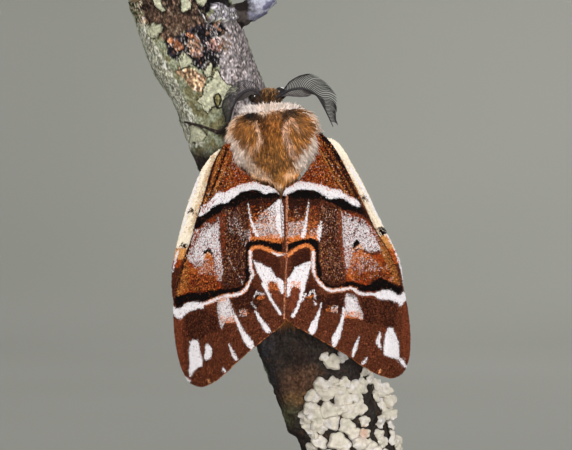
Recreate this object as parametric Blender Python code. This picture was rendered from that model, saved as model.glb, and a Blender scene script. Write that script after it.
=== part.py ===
"""A male kentish glory moth at rest, head up on a cut length of lichened branch.

The branch stands on a round display base by one rod. Metres, +Z up, the moth's back towards -Y,
and the origin at the centre of the base's underside.

The moth is laid out in a frame of its own, the child of an empty: +X to its right as seen from
behind its back, +Y from back to belly, +Z towards the head, with the origin on the ridge of the
closed wings, at the middle of the thorax.
"""

import math
import random

import bmesh
import bpy
from mathutils import Matrix, Vector, noise

MM = 0.001
GAP = 0.3 * MM  # between neighbours that touch

# The moth's place and lean
MOTH_PLACE = Vector((-1.68, -15.5, 56.2)) * MM
MOTH_LEAN = math.radians(6)

# Wings, as seen from the back: (out from the ridge, down from the thorax's middle)
WING_THICKNESS = 0.5 * MM
HALF_SPAN = 14.0 * MM
ROOF_SLOPE = 0.28  # at the ridge
ROOF_CURVE = 0.26  # added by the costa
RIDGE_TOP = (0.44 * MM, 6.1 * MM)  # the ridge's sideways place, and how far down
RIDGE_END = (-0.54 * MM, 21.1 * MM)
SIDE_STRETCH = {"left": -0.028, "right": 0.028}  # the two wings aren't drawn back alike
HINDWING_DROP = 1.25 * MM
HINDWING_PULL = {"left": 0.3 * MM, "right": -0.3 * MM}  # nor do the hindwings show alike
HINDWING_PULL_LENGTH = 16 * MM

FOREWING_COSTA = [
    (5.0, -0.75), (5.92, 0.0), (7.26, 1.9), (8.64, 5.1), (9.94, 8.2), (11.18, 11.5),
    (12.7, 14.5), (13.65, 17.1), (14.1, 19.6), (14.3, 22.3), (14.25, 24.8), (13.9, 27.1), (13.3, 28.6),
]
FOREWING_OUTER = [
    (13.3, 28.6), (12.3, 29.4), (11.1, 29.45), (9.1, 28.4), (6.9, 26.6), (4.75, 24.95),
    (2.57, 23.4), (0.96, 22.2), (0.2, 21.2),
]
FOREWING_INNER = [(4.9, 1.7), (3.75, 3.7), (2.3, 5.1), (0.75, 5.9), (0.2, 7.4), (0.2, 12.0), (0.2, 17.0), (0.2, 21.2)]
FOREWING_VEINS = (0.05, 0.18, 0.32, 0.44, 0.58, 0.76, 0.94)  # places along the outer margin
HINDWING_COSTA = [
    (5.0, 0.35), (6.3, 0.3), (7.5, 0.9), (8.4, 2.0), (9.1, 3.3), (9.85, 4.8), (10.85, 6.9),
    (12.1, 10.2), (13.0, 12.6), (13.8, 15.0), (14.1, 17.4), (13.9, 19.6),
]
HINDWING_OUTER = [(13.9, 19.6), (12.7, 22.0), (10.2, 23.3), (7.6, 22.9), (5.6, 21.6), (4.3, 19.6)]
HINDWING_INNER = [(4.9, 2.6), (4.1, 4.6), (3.6, 8.0), (3.5, 12.0), (3.7, 16.0), (4.3, 19.6)]
HINDWING_VEINS = (0.14, 0.34, 0.54, 0.74, 0.9)

# Body, in the moth's frame
THORAX_CENTRE = Vector((0.2, 2.4, -0.3)) * MM
THORAX_RADII = Vector((4.5, 4.2, 4.2)) * MM
THORAX_SEED = 6
THORAX_LOCKS = [
    # height over the middle as a share, count, length, and how far the lock leans out, and up
    (0.8, 14, 2.2, 0.9, 0.75),
    (0.58, 16, 2.3, 0.85, -0.05),
    (0.3, 18, 2.4, 0.75, -0.6),
    (0.0, 18, 2.5, 0.65, -0.9),
    (-0.3, 18, 2.7, 0.55, -1.0),
    (-0.58, 16, 3.0, 0.42, -1.0),
    (-0.82, 12, 3.4, 0.3, -1.0),
]
LOCK_WIDTH = 1.35 * MM
LOCK_THICKNESS = 0.5 * MM
HEAD_CENTRE = Vector((0.0, 3.1, 4.9)) * MM
HEAD_RADII = Vector((1.75, 1.65, 1.55)) * MM
EYE_RADIUS = 0.78 * MM
EYE_PLACE = Vector((1.6, 3.5, 5.65)) * MM
ABDOMEN_DEPTH = 3.9 * MM
ABDOMEN_STATIONS = [  # height, radius under the coat
    (-2.2, 2.0), (-5.0, 2.2), (-8.0, 2.2), (-11.0, 2.05), (-14.0, 1.85), (-17.0, 1.55), (-19.0, 1.25), (-20.4, 0.8),
]
ABDOMEN_LOCKS = [(-6.4, 7, 2.9), (-9.0, 7, 2.9), (-11.6, 6, 2.9), (-14.2, 6, 2.9), (-16.8, 6, 3.1), (-19.0, 6, 4.1)]

# Antennae: the shaft from the head to its tip
SHAFT_RADIUS = 0.27 * MM
RAY_COUNT = 10  # in each of the two rows
RAY_RADIUS = 0.27 * MM
RAY_TIP_RADIUS = 0.12 * MM
RAY_LENGTH = 2.3 * MM
ANTENNA_SHAFTS = {
    "right": [
        (1.05, 2.2, 5.1), (2.14, 1.7, 5.6), (3.0, 1.4, 5.85), (4.1, 1.2, 5.87), (4.78, 1.1, 5.66),
        (5.43, 1.2, 5.28), (6.05, 1.4, 4.7), (6.5, 1.7, 3.74), (6.84, 2.0, 2.87), (7.33, 2.4, 1.51),
    ],
    "left": [
        (-0.8, 2.2, 5.3), (-1.1, 1.9, 5.93), (-1.65, 1.8, 6.3), (-2.35, 1.8, 6.3), (-3.1, 1.9, 6.0),
        (-3.6, 2.0, 5.55), (-4.05, 2.3, 4.9), (-4.4, 2.6, 4.2), (-4.65, 3.0, 3.5), (-4.9, 3.4, 2.9),
    ],
}

# Branch and stand, in the part's frame
BRANCH_MIDDLE = [
    (9.8, 11.8, 12.5), (4.7, 8.2, 26.0), (2.2, 6.5, 32.4), (-3.0, 2.5, 47.0), (-8.2, -1.4, 61.7),
    (-10.9, -3.1, 67.9), (-14.4, -5.3, 76.0),
]
BRANCH_RADIUS = 5.7 * MM
STUB_ROOT_HEIGHT = 69.0 * MM
STUB_TIP = Vector((-1.6, -5.6, 74.4)) * MM
STUB_RADIUS = 1.5 * MM
BASE_RADIUS = 25.0 * MM
BASE_THICKNESS = 5.0 * MM
BASE_CHAMFER = 0.8 * MM
ROD_RADIUS = 1.5 * MM
COLLAR_RADIUS = 2.8 * MM
COLLAR_THICKNESS = 1.2 * MM

# Legs: where each leaves the thorax, and the heights and the angles round the branch of its foot
LEGS = {
    "fore_left": ((-1.3, 5.9, 2.3), (59.4, 61.3), (-12, -58)),
    "fore_right": ((1.3, 5.9, 2.3), (59.6, 58.6), (16, 60)),
    "mid_left": ((-1.9, 6.3, 0.1), (54.4, 54.6), (-20, -56)),
    "mid_right": ((1.9, 6.3, 0.1), (56.2, 55.0), (34, 72)),
    "hind_left": ((-1.6, 6.1, -2.2), (48.8, 47.8), (-20, -60)),
    "hind_right": ((1.6, 6.1, -2.2), (50.2, 48.6), (30, 72)),
}
FEMUR_RADIUS = 0.55 * MM
TARSUS_RADIUS = 0.27 * MM


def millimetres(points):
    return [Vector(p) * MM for p in points]


def smooth(edge0, edge1, x):
    t = min(1.0, max(0.0, (x - edge0) / (edge1 - edge0)))
    return t * t * (3 - 2 * t)


def curve_through(points, count):
    """Points at even distances along a smooth curve through the given ones."""
    ends = [2 * points[0] - points[1], *points, 2 * points[-1] - points[-2]]
    fine = []
    steps = 12
    for a, b, c, d in zip(ends, ends[1:], ends[2:], ends[3:]):
        for i in range(steps):
            t = i / steps
            fine.append(0.5 * (2 * b + (c - a) * t + (2 * a - 5 * b + 4 * c - d) * t**2
                               + (3 * b - 3 * c + d - a) * t**3))
    fine.append(points[-1])
    lengths = [0.0]
    for p, q in zip(fine, fine[1:]):
        lengths.append(lengths[-1] + (q - p).length)
    found = []
    at = 0
    for i in range(count):
        wanted = lengths[-1] * i / (count - 1)
        while at < len(fine) - 2 and lengths[at + 1] < wanted:
            at += 1
        share = (wanted - lengths[at]) / max(lengths[at + 1] - lengths[at], 1e-12)
        found.append(fine[at].lerp(fine[at + 1], min(1.0, share)))
    return found


def material(name, colour, roughness, metallic=0.0):
    made = bpy.data.materials.new(name)
    made.use_nodes = True
    shader = made.node_tree.nodes["Principled BSDF"]
    shader.inputs["Base Color"].default_value = (*colour, 1)
    shader.inputs["Roughness"].default_value = roughness
    shader.inputs["Metallic"].default_value = metallic
    return made


def mesh_object(name, points, faces):
    mesh = bpy.data.meshes.new(name)
    mesh.from_pydata([tuple(p) for p in points], [], faces)
    made = bpy.data.objects.new(name, mesh)
    bpy.context.scene.collection.objects.link(made)
    return made


def ellipsoid(centre, radii, around=16, rings=10, name="piece"):
    """A closed ellipsoid with its poles along Z."""
    points = [centre + Vector((0, 0, radii.z))]
    for i in range(1, rings):
        tilt = math.pi * i / rings
        for j in range(around):
            turn = 2 * math.pi * j / around
            unit = Vector((math.sin(tilt) * math.cos(turn), math.sin(tilt) * math.sin(turn), math.cos(tilt)))
            points.append(centre + unit * radii)
    points.append(centre - Vector((0, 0, radii.z)))
    faces = []
    for j in range(around):
        k = (j + 1) % around
        faces.append((0, 1 + j, 1 + k))
        for i in range(rings - 2):
            a = 1 + i * around
            b = a + around
            faces.append((a + j, b + j, b + k, a + k))
        a = 1 + (rings - 2) * around
        faces.append((len(points) - 1, a + k, a + j))
    return mesh_object(name, points, faces)


def grown(radii, by):
    return radii + Vector((by, by, by))


def tube(path, radii, sides=6, name="piece"):
    """A closed round bar along the path, with a flat cap at each end."""
    points = []
    across = None
    for i, p in enumerate(path):
        along = (path[min(i + 1, len(path) - 1)] - path[max(i - 1, 0)]).normalized()
        if across is None:
            across = along.orthogonal().normalized()
        across = (across - along * across.dot(along)).normalized()
        other = along.cross(across)
        for j in range(sides):
            turn = 2 * math.pi * j / sides
            points.append(p + (across * math.cos(turn) + other * math.sin(turn)) * radii[i])
    faces = [tuple(reversed(range(sides)))]
    for i in range(len(path) - 1):
        for j in range(sides):
            a, b = i * sides + j, i * sides + (j + 1) % sides
            faces.append((a, b, b + sides, a + sides))
    faces.append(tuple(range(len(points) - sides, len(points))))
    return mesh_object(name, points, faces)


def lock(path, width, side_way, thickness=LOCK_THICKNESS):
    """A flat, tapering lock of hair along the path, pointed at its end."""
    points = []
    shares = (0.8, 1.0, 0.72)
    for i, p in enumerate(path[:-1]):
        along = (path[i + 1] - path[max(i - 1, 0)]).normalized()
        side = (side_way - along * side_way.dot(along)).normalized()
        flat = along.cross(side)
        half = width / 2 * shares[i]
        points += [p + side * half, p + flat * thickness / 2, p - side * half, p - flat * thickness / 2]
    points.append(path[-1])
    faces = [(3, 2, 1, 0)]
    for i in range(len(path) - 2):
        for j in range(4):
            a, b = i * 4 + j, i * 4 + (j + 1) % 4
            faces.append((a, b, b + 4, a + 4))
    last = len(points) - 5
    faces += [(last + j, last + (j + 1) % 4, len(points) - 1) for j in range(4)]
    return mesh_object("lock", points, faces)


def lathe(profile, centre, sides, name):
    """A closed turned shape from (radius, height) pairs, bottom to top."""
    points = []
    for radius, height in profile:
        for j in range(sides):
            turn = 2 * math.pi * j / sides
            points.append(centre + Vector((radius * math.cos(turn), radius * math.sin(turn), height)))
    faces = [tuple(reversed(range(sides)))]
    for i in range(len(profile) - 1):
        for j in range(sides):
            a, b = i * sides + j, i * sides + (j + 1) % sides
            faces.append((a, b, b + sides, a + sides))
    faces.append(tuple(range(len(points) - sides, len(points))))
    return mesh_object(name, points, faces)


def keep_largest(obj):
    """Drops every closed surface of the mesh but the one round the most volume."""
    bm = bmesh.new()
    bm.from_mesh(obj.data)
    bmesh.ops.triangulate(bm, faces=bm.faces[:])
    left = set(bm.faces)
    surfaces = []
    while left:
        stack = [left.pop()]
        found = []
        while stack:
            face = stack.pop()
            found.append(face)
            for edge in face.edges:
                for other in edge.link_faces:
                    if other in left:
                        left.remove(other)
                        stack.append(other)
        volume = sum(f.verts[0].co.dot(f.verts[1].co.cross(f.verts[2].co)) for f in found)
        surfaces.append((volume, len(surfaces), found))
    surfaces.sort(key=lambda s: s[:2])
    dropped = [face for surface in surfaces[:-1] for face in surface[2]]
    bmesh.ops.delete(bm, geom=dropped, context="FACES")
    bm.to_mesh(obj.data)
    bm.free()


def fuse(name, pieces, cutters=(), solver="EXACT"):
    """One closed body: the pieces joined, less the cutters."""
    body = pieces[0]
    groups = [("UNION", pieces[1:]), ("DIFFERENCE", list(cutters))]
    for operation, members in groups:
        if not members:
            continue
        group = bpy.data.collections.new(name + "_" + operation)
        bpy.context.scene.collection.children.link(group)
        for member in members:
            group.objects.link(member)
        boolean = body.modifiers.new(operation, "BOOLEAN")
        boolean.operation = operation
        boolean.operand_type = "COLLECTION"
        boolean.collection = group
        boolean.solver = solver
        graph = bpy.context.evaluated_depsgraph_get()
        joined = bpy.data.meshes.new_from_object(body.evaluated_get(graph))
        body.modifiers.clear()
        body.data = joined
        for member in members:
            bpy.data.objects.remove(member)
        bpy.data.collections.remove(group)
    keep_largest(body)
    body.name = name
    return body


def finish(obj, look, parent=None, smooth_angle=40):
    obj.data.materials.clear()
    obj.data.materials.append(look)
    obj.data.shade_smooth()
    obj.data.set_sharp_from_angle(angle=math.radians(smooth_angle))
    obj.parent = parent
    return obj


# Wings
def ridge_at(down):
    share = min(1.0, max(0.0, (down - RIDGE_TOP[1]) / (RIDGE_END[1] - RIDGE_TOP[1])))
    return RIDGE_TOP[0] + (RIDGE_END[0] - RIDGE_TOP[0]) * share


def roof_at(out):
    """How far behind the ridge the closed wings lie, at a distance out from it."""
    share = abs(out) / HALF_SPAN
    return HALF_SPAN * (ROOF_SLOPE * share + ROOF_CURVE * share**2)


def wing_place(out, down, side, drop):
    """A point of the wing's middle surface."""
    sign = 1 if side == "right" else -1
    if drop > 0 and out > 0.5 * HALF_SPAN and 0 < down < HINDWING_PULL_LENGTH:
        share = smooth(0.5, 0.65, out / HALF_SPAN)
        out += HINDWING_PULL[side] * share * math.sin(math.pi * down / HINDWING_PULL_LENGTH)
    down *= 1 + SIDE_STRETCH[side] * out / HALF_SPAN
    across = ridge_at(down) * (1 - out / HALF_SPAN) + sign * out
    return Vector((across, roof_at(out) + drop, -down))


def wing_grid(costa, outer, inner, root, places, steps, side, drop):
    """Rows of points from the root to the outer margin, one for each place along that margin."""
    fine = 201
    costa, inner = (curve_through([Vector(p) * MM for p in c], steps) for c in (costa, inner))
    outer, root = (curve_through([Vector(p) * MM for p in c], fine) for c in (outer, root))
    rows = []
    for k in places:
        at = round(k * (fine - 1))
        row = []
        for i in range(steps):
            t = i / (steps - 1)
            flat = costa[i] * (1 - k) + inner[i] * k + root[at] * (1 - t) + outer[at] * t
            flat -= (root[0] * (1 - k) + root[-1] * k) * (1 - t) + (outer[0] * (1 - k) + outer[-1] * k) * t
            row.append(wing_place(flat.x, flat.y, side, drop))
        rows.append(row)
    return rows


def wing(name, side, costa, outer, inner, veins, steps, drop, vein_height):
    """A curved membrane with its main veins raised on the upper face."""
    half_vein = 0.022
    places = {0.0: 1.0, 1.0: 0.0}
    for vein in veins:
        places[vein - half_vein] = places[vein + half_vein] = 0.0
        places[vein] = 1.0
    ordered = sorted(places)
    for a, b in zip(ordered, ordered[1:]):
        if b - a > 0.07:
            places[(a + b) / 2] = 0.0
    ordered = sorted(places)
    root = [(costa[0][0], costa[0][1]), (inner[0][0], inner[0][1])]
    rows = wing_grid(costa, outer, inner, root, ordered, steps, side, drop)
    sign = 1 if side == "right" else -1
    upper, under = [], []
    for j, row in enumerate(rows):
        for i, p in enumerate(row):
            along = row[min(i + 1, steps - 1)] - row[max(i - 1, 0)]
            across = rows[min(j + 1, len(rows) - 1)][i] - rows[max(j - 1, 0)][i]
            up = along.cross(across).normalized() * sign
            if up.y > 0:
                up = -up
            raised = vein_height * places[ordered[j]] * smooth(0.02, 0.2, i / (steps - 1))
            upper.append(p + up * (WING_THICKNESS / 2 + raised))
            under.append(p - up * (WING_THICKNESS / 2))
    points = upper + under
    half = len(upper)
    faces = []
    for j in range(len(rows) - 1):
        for i in range(steps - 1):
            a, b = j * steps + i, (j + 1) * steps + i
            for corners in ((a, b, b + 1), (a, b + 1, a + 1)):
                faces.append(corners)
                faces.append(tuple(half + c for c in reversed(corners)))
    rim = [j * steps for j in range(len(rows))]
    rim += [(len(rows) - 1) * steps + i for i in range(1, steps)]
    rim += [j * steps + steps - 1 for j in range(len(rows) - 2, -1, -1)]
    rim += [i for i in range(steps - 2, 0, -1)]
    for a, b in zip(rim, rim[1:] + rim[:1]):
        faces.append((b, a, half + a, half + b))
    made = mesh_object(name, points, faces)
    if sign < 0:
        made.data.flip_normals()
    return made


def over_wings(p):
    """The point, brought back to the outer side of the wings where it would sink into them."""
    out = max(0.0, abs(p.x - RIDGE_TOP[0]) - LOCK_WIDTH / 2)
    limit = roof_at(out) - WING_THICKNESS / 2 - 0.15 * MM - GAP - LOCK_THICKNESS / 2
    return Vector((p.x, min(p.y, limit), p.z))


def under_wings(p):
    """The point, brought back to the belly side of the wings where it would sink into them."""
    out = abs(p.x - ridge_at(-p.z))
    drop = HINDWING_DROP if out > 2.7 * MM else 0.0
    limit = roof_at(out) + drop + WING_THICKNESS / 2 + GAP + LOCK_THICKNESS / 2
    return Vector((p.x, max(p.y, limit), p.z))


# Branch
BRANCH_LINE = curve_through(millimetres(BRANCH_MIDDLE), 40)
BRANCH_FOOT, BRANCH_TOP = BRANCH_LINE[0], BRANCH_LINE[-1]


def branch_axis(height):
    """The branch's middle at a height, and the way it runs there."""
    at = 0
    while at < len(BRANCH_LINE) - 2 and BRANCH_LINE[at + 1].z < height:
        at += 1
    low, high = BRANCH_LINE[at], BRANCH_LINE[at + 1]
    middle = low.lerp(high, (height - low.z) / (high.z - low.z))
    along = BRANCH_LINE[min(at + 3, len(BRANCH_LINE) - 1)] - BRANCH_LINE[max(at - 2, 0)]
    return middle, along.normalized()


def branch_radius(height, turn):
    swelling = 0.5 * MM * math.exp(-(((height - STUB_ROOT_HEIGHT) / (4 * MM)) ** 2))
    where = Vector((math.cos(turn), math.sin(turn), height / (9 * MM)))
    return BRANCH_RADIUS + swelling + 0.28 * MM * noise.noise(where * 1.3)


def branch_surface(height, turn, above=0.0):
    """A point over the bark. turn is 0 at the side towards the moth and grows to its right."""
    middle, along = branch_axis(height)
    front = Vector((0, -1, 0))
    front = (front - along * front.dot(along)).normalized()
    right = along.cross(front).normalized()
    if right.x < 0:
        right = -right
    way = front * math.cos(turn) + right * math.sin(turn)
    return middle + way * (branch_radius(height, turn) + above), way


def branch_body(name, extra=0.0, rings=20, sides=20):
    """The bark's solid. Its lower end is sawn level, its upper end square."""
    points = []
    for i in range(rings):
        share = i / (rings - 1)
        height = BRANCH_FOOT.z + (BRANCH_TOP.z - BRANCH_FOOT.z) * share
        middle, along = branch_axis(height)
        level = Vector((0, 0, 1)).lerp(along, smooth(0.0, 0.18, share)).normalized()
        for j in range(sides):
            turn = 2 * math.pi * j / sides
            p, way = branch_surface(height, turn, extra)
            off = p - middle
            points.append(p - along * (off.dot(level) / along.dot(level)))
    faces = [tuple(reversed(range(sides)))]
    for i in range(rings - 1):
        for j in range(sides):
            a, b = i * sides + j, i * sides + (j + 1) % sides
            faces.append((a, b, b + sides, a + sides))
    faces.append(tuple(range(len(points) - sides, len(points))))
    return mesh_object(name, points, faces)


def perch_branch(look):
    bark = branch_body("perch_branch")
    root, _ = branch_axis(STUB_ROOT_HEIGHT)
    path = [root.lerp(STUB_TIP, s) for s in (0.0, 0.45, 0.65, 0.85, 1.0)]
    stub = tube(path, [STUB_RADIUS * s for s in (1.3, 1.25, 0.95, 1.0, 0.75)], 8)
    return finish(fuse("perch_branch", [bark, stub]), look)


def perch_lichen(look):
    """The leafy lichen on the branch's lower right, in rounded lobes."""
    chance = random.Random(5)
    lobes = []
    rows = 5
    for row in range(rows):
        for column in range(4):
            height = (15.8 + 11.5 * (row + chance.uniform(-0.25, 0.25)) / (rows - 1)) * MM
            turn = math.radians(-6 + 25 * (column + 0.5 * (row % 2)) + chance.uniform(-4, 4))
            size = chance.uniform(1.55, 2.0) * MM
            place, way = branch_surface(height, turn, 0.2 * size)
            lobe = ellipsoid(Vector((0, 0, 0)), Vector((size, size * chance.uniform(0.75, 1.0), size * 0.62)), 8, 4)
            tilt = (way + 0.3 * Vector((chance.uniform(-1, 1), chance.uniform(-1, 1), chance.uniform(-1, 1)))).normalized()
            lobe.data.transform(Matrix.Translation(place) @ tilt.to_track_quat("Z", "Y").to_matrix().to_4x4())
            lobes.append(lobe)
    bark = branch_body("bark_cutter", GAP)
    return finish(fuse("perch_lichen", lobes, [bark]), look)


def stand(base_look, rod_look):
    inset = BASE_CHAMFER
    base = lathe(
        [(BASE_RADIUS, 0), (BASE_RADIUS, BASE_THICKNESS - inset), (BASE_RADIUS - inset, BASE_THICKNESS)],
        Vector((0, 0, 0)), 40, "stand_base",
    )
    finish(base, base_look)
    low, high = BASE_THICKNESS + GAP, BRANCH_FOOT.z - GAP
    middle = Vector((BRANCH_FOOT.x, BRANCH_FOOT.y, 0))
    profile = [
        (COLLAR_RADIUS, low), (COLLAR_RADIUS, low + COLLAR_THICKNESS),
        (ROD_RADIUS, low + COLLAR_THICKNESS), (ROD_RADIUS, high - COLLAR_THICKNESS),
        (COLLAR_RADIUS, high - COLLAR_THICKNESS), (COLLAR_RADIUS, high),
    ]
    finish(lathe(profile, middle, 16, "stand_rod"), rod_look)


# Legs
def leg_line(name):
    """A leg's middle line and radii: out of the thorax, over to the branch and round its bark."""
    root, heights, turns = LEGS[name]
    root = Vector(root) * MM
    to_moth = moth_matrix().inverted()
    side = -1 if name.endswith("left") else 1
    tarsus = []
    count = 5
    for i in range(count):
        share = i / (count - 1)
        turn = math.radians(turns[0] + (turns[1] - turns[0]) * share)
        lift = GAP + TARSUS_RADIUS + 0.25 * MM * (1 - share) ** 2
        height = (heights[0] + (heights[1] - heights[0]) * share) * MM
        place, _ = branch_surface(height + 0.5 * MM * math.sin(2.8 * share), turn, lift)
        tarsus.append(to_moth @ place)
    knee = root.lerp(tarsus[0], 0.5) + Vector((0.9 * side, -0.1, 0.5)) * MM
    line = curve_through([root, knee, tarsus[0]], 5)[:-1] + tarsus
    radii = [FEMUR_RADIUS, FEMUR_RADIUS, 0.5 * MM, 0.42 * MM, 0.34 * MM]
    radii += [TARSUS_RADIUS] * (count - 2) + [0.2 * MM]
    return line, radii


def leg(name, look, moth):
    line, radii = leg_line(name)
    return finish(tube(line, radii, 6, "leg_" + name), look, moth)


def leg_cutter(name):
    line, radii = leg_line(name)
    start = line[0] + (line[0] - line[1]).normalized() * GAP
    return tube([start, *line[1:5]], [r + GAP for r in radii[:5]], 8)


# Body
def thorax_core(extra, around=20, rings=12):
    return ellipsoid(THORAX_CENTRE, grown(THORAX_RADII, extra), around, rings)


def thorax_locks():
    """Rings of locks that start in the core and lie back over one another."""
    chance = random.Random(THORAX_SEED)
    feelers = [p for side in ("left", "right") for p in curve_through(shaft_line(side), 40)]
    locks = []
    for ring, (height, count, length, out, up) in enumerate(THORAX_LOCKS):
        level = math.sqrt(1 - height**2)
        for i in range(count):
            turn = 2 * math.pi * (i + 0.5 * (ring % 2) + 0.16 * chance.uniform(-1, 1)) / count
            unit = Vector((math.sin(turn) * level, -math.cos(turn) * level, height))
            root = THORAX_CENTRE + unit * THORAX_RADII
            back = root.y < 1.1 * MM
            belly = root.y > 3.9 * MM
            if not (back or belly) and height < 0.4:
                continue
            outward = Vector((unit.x, unit.y, 0)).normalized()
            if ring == 0 and root.y > THORAX_CENTRE.y:
                continue
            lie = (outward * out + Vector((0, 0, up))).normalized()
            normal = Vector((unit.x / THORAX_RADII.x, unit.y / THORAX_RADII.y, unit.z / THORAX_RADII.z)).normalized()
            size = length * MM * chance.uniform(0.88, 1.08)
            start = root - normal * 0.6 * MM
            middle = root + (normal * 0.34 + lie * 0.3) * size
            far = root + (normal * 0.36 + lie * 0.62) * size
            end = root + (normal * 0.26 + lie * 0.96) * size
            path = [start, middle, far, end]
            if height < 0.4 or not back:
                path = [start, *((over_wings if back else under_wings)(p) for p in path[1:])]
            width = LOCK_WIDTH * chance.uniform(0.85, 1.15)
            if min((p - q).length for p in curve_through(path, 7) for q in feelers) < 0.95 * MM:
                continue
            locks.append(lock(path, width, lie.cross(normal)))
    return locks


def thorax(look, moth):
    cutters = [leg_cutter(name) for name in LEGS]
    cutters.append(ellipsoid(HEAD_CENTRE, grown(HEAD_RADII, GAP), 14, 9))
    cutters.append(abdomen_core(GAP))
    for side in ("left", "right"):
        cutters.append(eye_ball(side, GAP, 10, 7))
    return finish(fuse("thorax", [thorax_core(0.0), *thorax_locks()], cutters), look, moth)


def eye_place(side):
    return EYE_PLACE * Vector((-1 if side == "left" else 1, 1, 1))


def eye_ball(side, extra=0.0, around=12, rings=8):
    size = EYE_RADIUS + extra
    return ellipsoid(eye_place(side), Vector((size, size, size)), around, rings, "eye_" + side)


def eye(side, look, moth):
    return finish(eye_ball(side), look, moth)


def head_locks():
    """The short tufts of the crown and face."""
    locks = []
    for x, y, z, length in [(-0.9, 1.9, 5.0, 1.5), (0.0, 1.6, 4.8, 1.7), (0.2, 2.2, 5.9, 1.5), (-0.5, 2.6, 6.1, 1.4),
                            (0.75, 3.0, 6.0, 1.3), (0.1, 3.6, 6.3, 1.3), (-0.7, 4.0, 5.6, 1.2), (0.7, 4.2, 5.4, 1.2)]:
        root = Vector((x, y, z)) * MM
        unit = root - HEAD_CENTRE
        normal = Vector((unit.x / HEAD_RADII.x**2, unit.y / HEAD_RADII.y**2, unit.z / HEAD_RADII.z**2)).normalized()
        lie = (Vector((0.25 * x, -0.25, 1.0)) + normal * 0.3).normalized()
        size = length * MM
        path = [root - normal * 0.5 * MM, root + (normal * 0.3 + lie * 0.25) * size,
                root + (normal * 0.35 + lie * 0.55) * size, root + (normal * 0.3 + lie * 0.9) * size]
        locks.append(lock(path, 0.85 * MM, lie.cross(normal)))
    return locks


def head(look, moth):
    core = ellipsoid(HEAD_CENTRE, HEAD_RADII, 14, 9)
    palps = [tube(millimetres([(0.5 * s, 4.2, 5.3), (0.55 * s, 4.7, 6.3), (0.5 * s, 4.8, 7.2)]),
                  [0.55 * MM, 0.45 * MM, 0.3 * MM], 6) for s in (-1, 1)]
    cutters = []
    for side in ("left", "right"):
        cutters.append(eye_ball(side, GAP, 10, 7))
        line = shaft_line(side)
        start = line[0] + (line[0] - line[1]).normalized() * GAP
        cutters.append(tube([start, *line[1:4]], [SHAFT_RADIUS + GAP] * 4, 8))
    return finish(fuse("head", [core, *palps, *head_locks()], cutters), look, moth)


def abdomen_core(extra=0.0):
    line, radii = [], []
    for z, radius in ABDOMEN_STATIONS:
        line.append(Vector((ridge_at(-z * MM) * 0.8, ABDOMEN_DEPTH, z * MM)))
        radii.append(radius * MM + extra)
    line[0].z += extra
    return tube(line, radii, 12)


def abdomen(look, moth):
    """A tapering body with rings of locks lying towards its end, and a tuft there."""
    chance = random.Random(8)
    locks = []
    for ring, (z, count, length) in enumerate(ABDOMEN_LOCKS):
        radius = next(a[1] + (b[1] - a[1]) * (z - a[0]) / (b[0] - a[0])
                      for a, b in zip(ABDOMEN_STATIONS, ABDOMEN_STATIONS[1:]) if a[0] >= z > b[0]) * MM
        middle = Vector((ridge_at(-z * MM) * 0.8, ABDOMEN_DEPTH, z * MM))
        for i in range(count):
            turn = 2 * math.pi * (i + 0.5 * (ring % 2) + 0.12 * chance.uniform(-1, 1)) / count
            normal = Vector((math.sin(turn), -math.cos(turn), 0))
            root = middle + normal * radius
            size = length * MM * chance.uniform(0.9, 1.08)
            down = Vector((0, 0, -1))
            path = [root - normal * 0.5 * MM, root + (normal * 0.18 + down * 0.35) * size,
                    root + (normal * 0.17 + down * 0.7) * size, root + (normal * 0.05 + down * 1.05) * size]
            path = [path[0], *(under_wings(p) for p in path[1:])]
            locks.append(lock(path, 1.5 * MM * radius / (2.1 * MM), down.cross(normal)))
    return finish(fuse("abdomen", [abdomen_core(), *locks]), look, moth)


# Antennae
def shaft_line(side):
    return curve_through(millimetres(ANTENNA_SHAFTS[side]), 12)


def ray_ways(side, line, i):
    """The ways the front and the hind row of rays point at a place along the shaft."""
    along = (line[min(i + 1, len(line) - 1)] - line[max(i - 1, 0)]).normalized()
    sign = 1 if side == "right" else -1
    away = Vector((-along.z, 0, along.x)).normalized() * sign
    front = (along * 0.62 + away * 0.78 + Vector((0, -0.12, 0))).normalized()
    hind = (along * 0.55 + away * (0.3 if side == "left" else -0.3) + Vector((0, 0.78, 0))).normalized()
    return front, hind


def antenna(side, look, moth):
    """A shaft with a row of tapering rays on either side, shortest at its ends."""
    line = shaft_line(side)
    last = len(line) - 1
    radii = [SHAFT_RADIUS] * last + [0.2 * MM]
    pieces = [tube(line, radii, 6)]
    fine = curve_through(line, RAY_COUNT * 4 + 1)
    for i in range(RAY_COUNT):
        share = 0.14 + 0.84 * i / (RAY_COUNT - 1)
        reach = RAY_LENGTH * smooth(0.0, 0.3, share) * (1 - 0.6 * smooth(0.55, 1.0, share))
        for row, part in enumerate((1.0, 0.85)):
            at = round(share * (len(fine) - 1)) - 2 * row
            way = ray_ways(side, fine, at)[row]
            curl = (fine[min(at + 1, len(fine) - 1)] - fine[max(at - 1, 0)]).normalized()
            path = [fine[at], fine[at] + way * reach * part * 0.55,
                    fine[at] + (way + curl * 0.15) * reach * part]
            pieces.append(tube(path, [RAY_RADIUS, RAY_RADIUS * 0.9, RAY_TIP_RADIUS], 4))
    return finish(fuse("antenna_" + side, pieces), look, moth)


def moth_matrix():
    return Matrix.Translation(MOTH_PLACE) @ Matrix.Rotation(-MOTH_LEAN, 4, "Y")


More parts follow.
